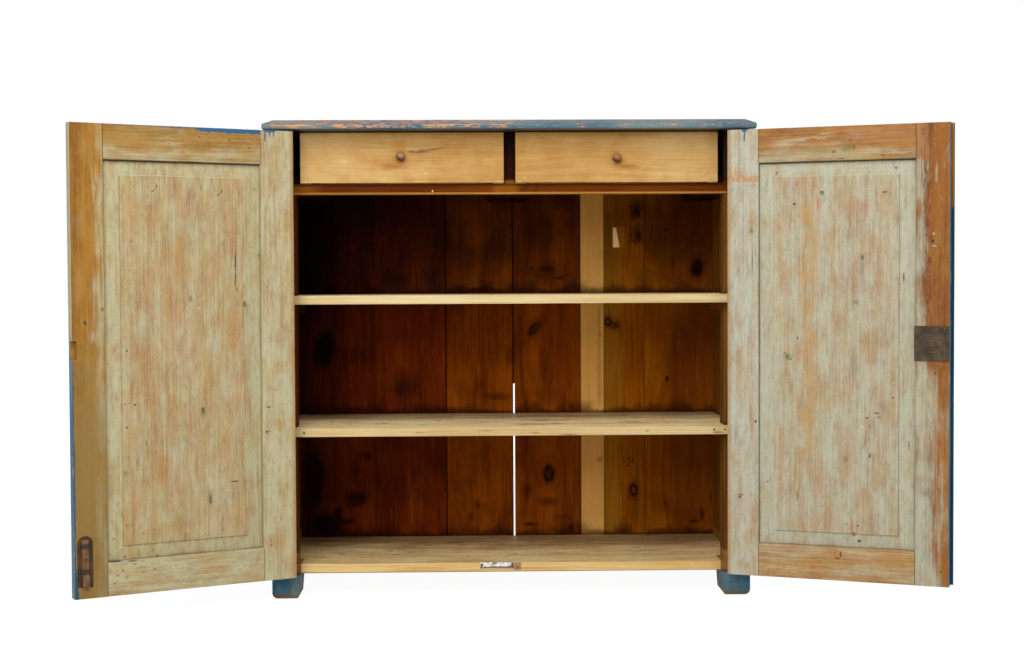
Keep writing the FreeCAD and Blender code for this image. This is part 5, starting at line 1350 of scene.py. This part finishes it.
def set_nails(name, place, spots, facing, tree, radius, height, seed=3):
    """Nail heads that ride one body, from places in millimetres and the way that they face."""
    origin, angle = PLACES.get(place, PLACES["carcass"])
    swing = Matrix.Translation(origin) @ Matrix.Rotation(angle, 4, "Z")
    points = bpy.data.meshes.new(name + "_places")
    points.from_pydata([swing @ (Vector(spot) / 1000) for spot in spots], [], [])
    way = points.attributes.new("facing", "FLOAT_VECTOR", "POINT")
    for item in way.data:
        item.vector = swing.to_3x3() @ Vector(facing)
    holder = bpy.data.objects.new(name + "_places", points)
    bpy.context.collection.objects.link(holder)
    setter = holder.modifiers.new("nails", "NODES")
    setter.node_group = tree
    inputs = {item.name: item.identifier for item in tree.interface.items_tree
              if item.in_out == "INPUT"}
    for item, value in (("Head radius", radius), ("Head height", height), ("Seed", seed)):
        setter[inputs[item]] = value
    bpy.context.view_layer.update()
    solid = holder.evaluated_get(bpy.context.evaluated_depsgraph_get())
    piece = bpy.data.objects.new(name, bpy.data.meshes.new_from_object(solid))
    bpy.data.objects.remove(holder)
    piece.data.shade_smooth()
    bpy.context.collection.objects.link(piece)
    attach(piece, place)
    print(name, len(spots), "heads,", len(piece.data.polygons), "faces")


nail_iron = Finish("nail_iron")
nail_rust = nail_iron.where.cloud(0.002).ramp(0.4, 0.65)
nail_iron_colour = mix(nail_rust, (96, 88, 80), (86, 50, 28))
nail_tree_made = nail_tree(surface(nail_iron, nail_iron_colour, 0.5, nail_rust, metal=0.6))
LOCK_NAILS = [(x, 32.5, z) for x in (-444.65, -505.85) for z in (646, 580.5)]
set_nails("lock_nails", "right_door", LOCK_NAILS, (0, 1, 0), nail_tree_made, 0.0024, 0.0009)
BOLT_NAILS = [(497, 28, 176), (499, 28, 85), (508, 28, 191), (520, 28, 86)]
set_nails("flush_bolt_nails", "left_door", BOLT_NAILS, (0, 1, 0), nail_tree_made, 0.0018, 0.0008)
SHELF_NAILS = [(492, -65.4, 397), (518, -65.4, 397), (-498, -65.4, 395), (-72, -65.4, 71),
               (1, -65.4, 71.5)]
set_nails("front_nails", "carcass", SHELF_NAILS, (0, -1, 0), nail_tree_made, 0.0024, 0.0007)
BACK_NAILS = [(x, 380.6, z) for left, right in zip(PLANK_EDGES, PLANK_EDGES[1:])
              for x in (left * 1000 + 18, right * 1000 - 18) for z in (66, 395, 714, 1106)]
set_nails("back_nails", "carcass", BACK_NAILS, (0, 1, 0), nail_tree_made, 0.0032, 0.0009)

# %% [markdown]
# ## Floor and light
# The cupboard stands on a plain white floor that runs out of sight. For the camera most of the
# floor's white is its own, so the lamps don't have to be strong enough to bleach it, and the rest
# of it still takes the soft shadow under the feet and doors.

# %% Lay the floor
WHITE = (255, 255, 255)


def white_seen_by_camera(tree, light, output, share, strength):
    """Mixes plain white into what a shader gives, for the camera and for reflections only."""
    path = add(tree, "ShaderNodeLightPath")
    rays = {name: Outlet(socket) for name, socket in path.outputs.items()}
    clear = rays["Is Glossy Ray"].most(rays["Is Transmission Ray"])
    seen = rays["Is Camera Ray"].most(clear) * share
    white = add(tree, light.bl_idname if light.type == "BACKGROUND" else "ShaderNodeEmission",
                WHITE, strength)
    blend = add(tree, "ShaderNodeMixShader", seen, Outlet(light.outputs[0]),
                Outlet(white.outputs[0]))
    feed(output.inputs[0], Outlet(blend.outputs[0]))


mesh = bpy.data.meshes.new("floor")
mesh.from_pydata([(-30, -12, 0), (30, -12, 0), (30, 50, 0), (-30, 50, 0)], [], [(0, 1, 2, 3)])
floor = bpy.data.objects.new("floor", mesh)
bpy.context.collection.objects.link(floor)
white_floor = Finish("floor_white")
whiteness = white_floor.where.length().to("ShaderNodeMapRange", 1.5, 6, 1.12, 1.28)
paint, output = (white_floor.tree.nodes[name] for name in ("Principled BSDF", "Material Output"))
paint.inputs["Base Color"].default_value = (0.85, 0.85, 0.85, 1)
paint.inputs["Roughness"].default_value = 0.9
white_seen_by_camera(white_floor.tree, paint, output, 0.85, whiteness)
floor.data.materials.append(white_floor.material)

# %% Light the room
bpy.context.scene.view_settings.view_transform = "Standard"
world = bpy.data.worlds.new("studio")
world.use_nodes = True
bpy.context.scene.world = world
room, output = (world.node_tree.nodes[name] for name in ("Background", "World Output"))
fill(room, {"Color": WHITE, "Strength": 0.22})
white_seen_by_camera(world.node_tree, room, output, 1, 1)


def softbox(name, place, target, size, watts):
    lamp = bpy.data.lights.new(name, "AREA")
    lamp.size = size
    lamp.energy = watts
    holder = bpy.data.objects.new(name, lamp)
    holder.location = place
    holder.rotation_euler = (Vector(target) - Vector(place)).to_track_quat("-Z", "Y").to_euler()
    bpy.context.collection.objects.link(holder)
    print(name, "at", place, watts, "W")


softbox("key", (-1.5, -3.7, 2.2), (0, 0, 0.5), 1.5, 69)
softbox("high", (-0.2, -2.3, 3.2), (0, -0.1, 0.4), 1.3, 52)
softbox("fill", (2.2, -4.2, 1.2), (0, 0, 0.5), 1.8, 24)
softbox("back", (0.8, 4.4, 1.6), (0, 0.2, 0.5), 2.2, 75)
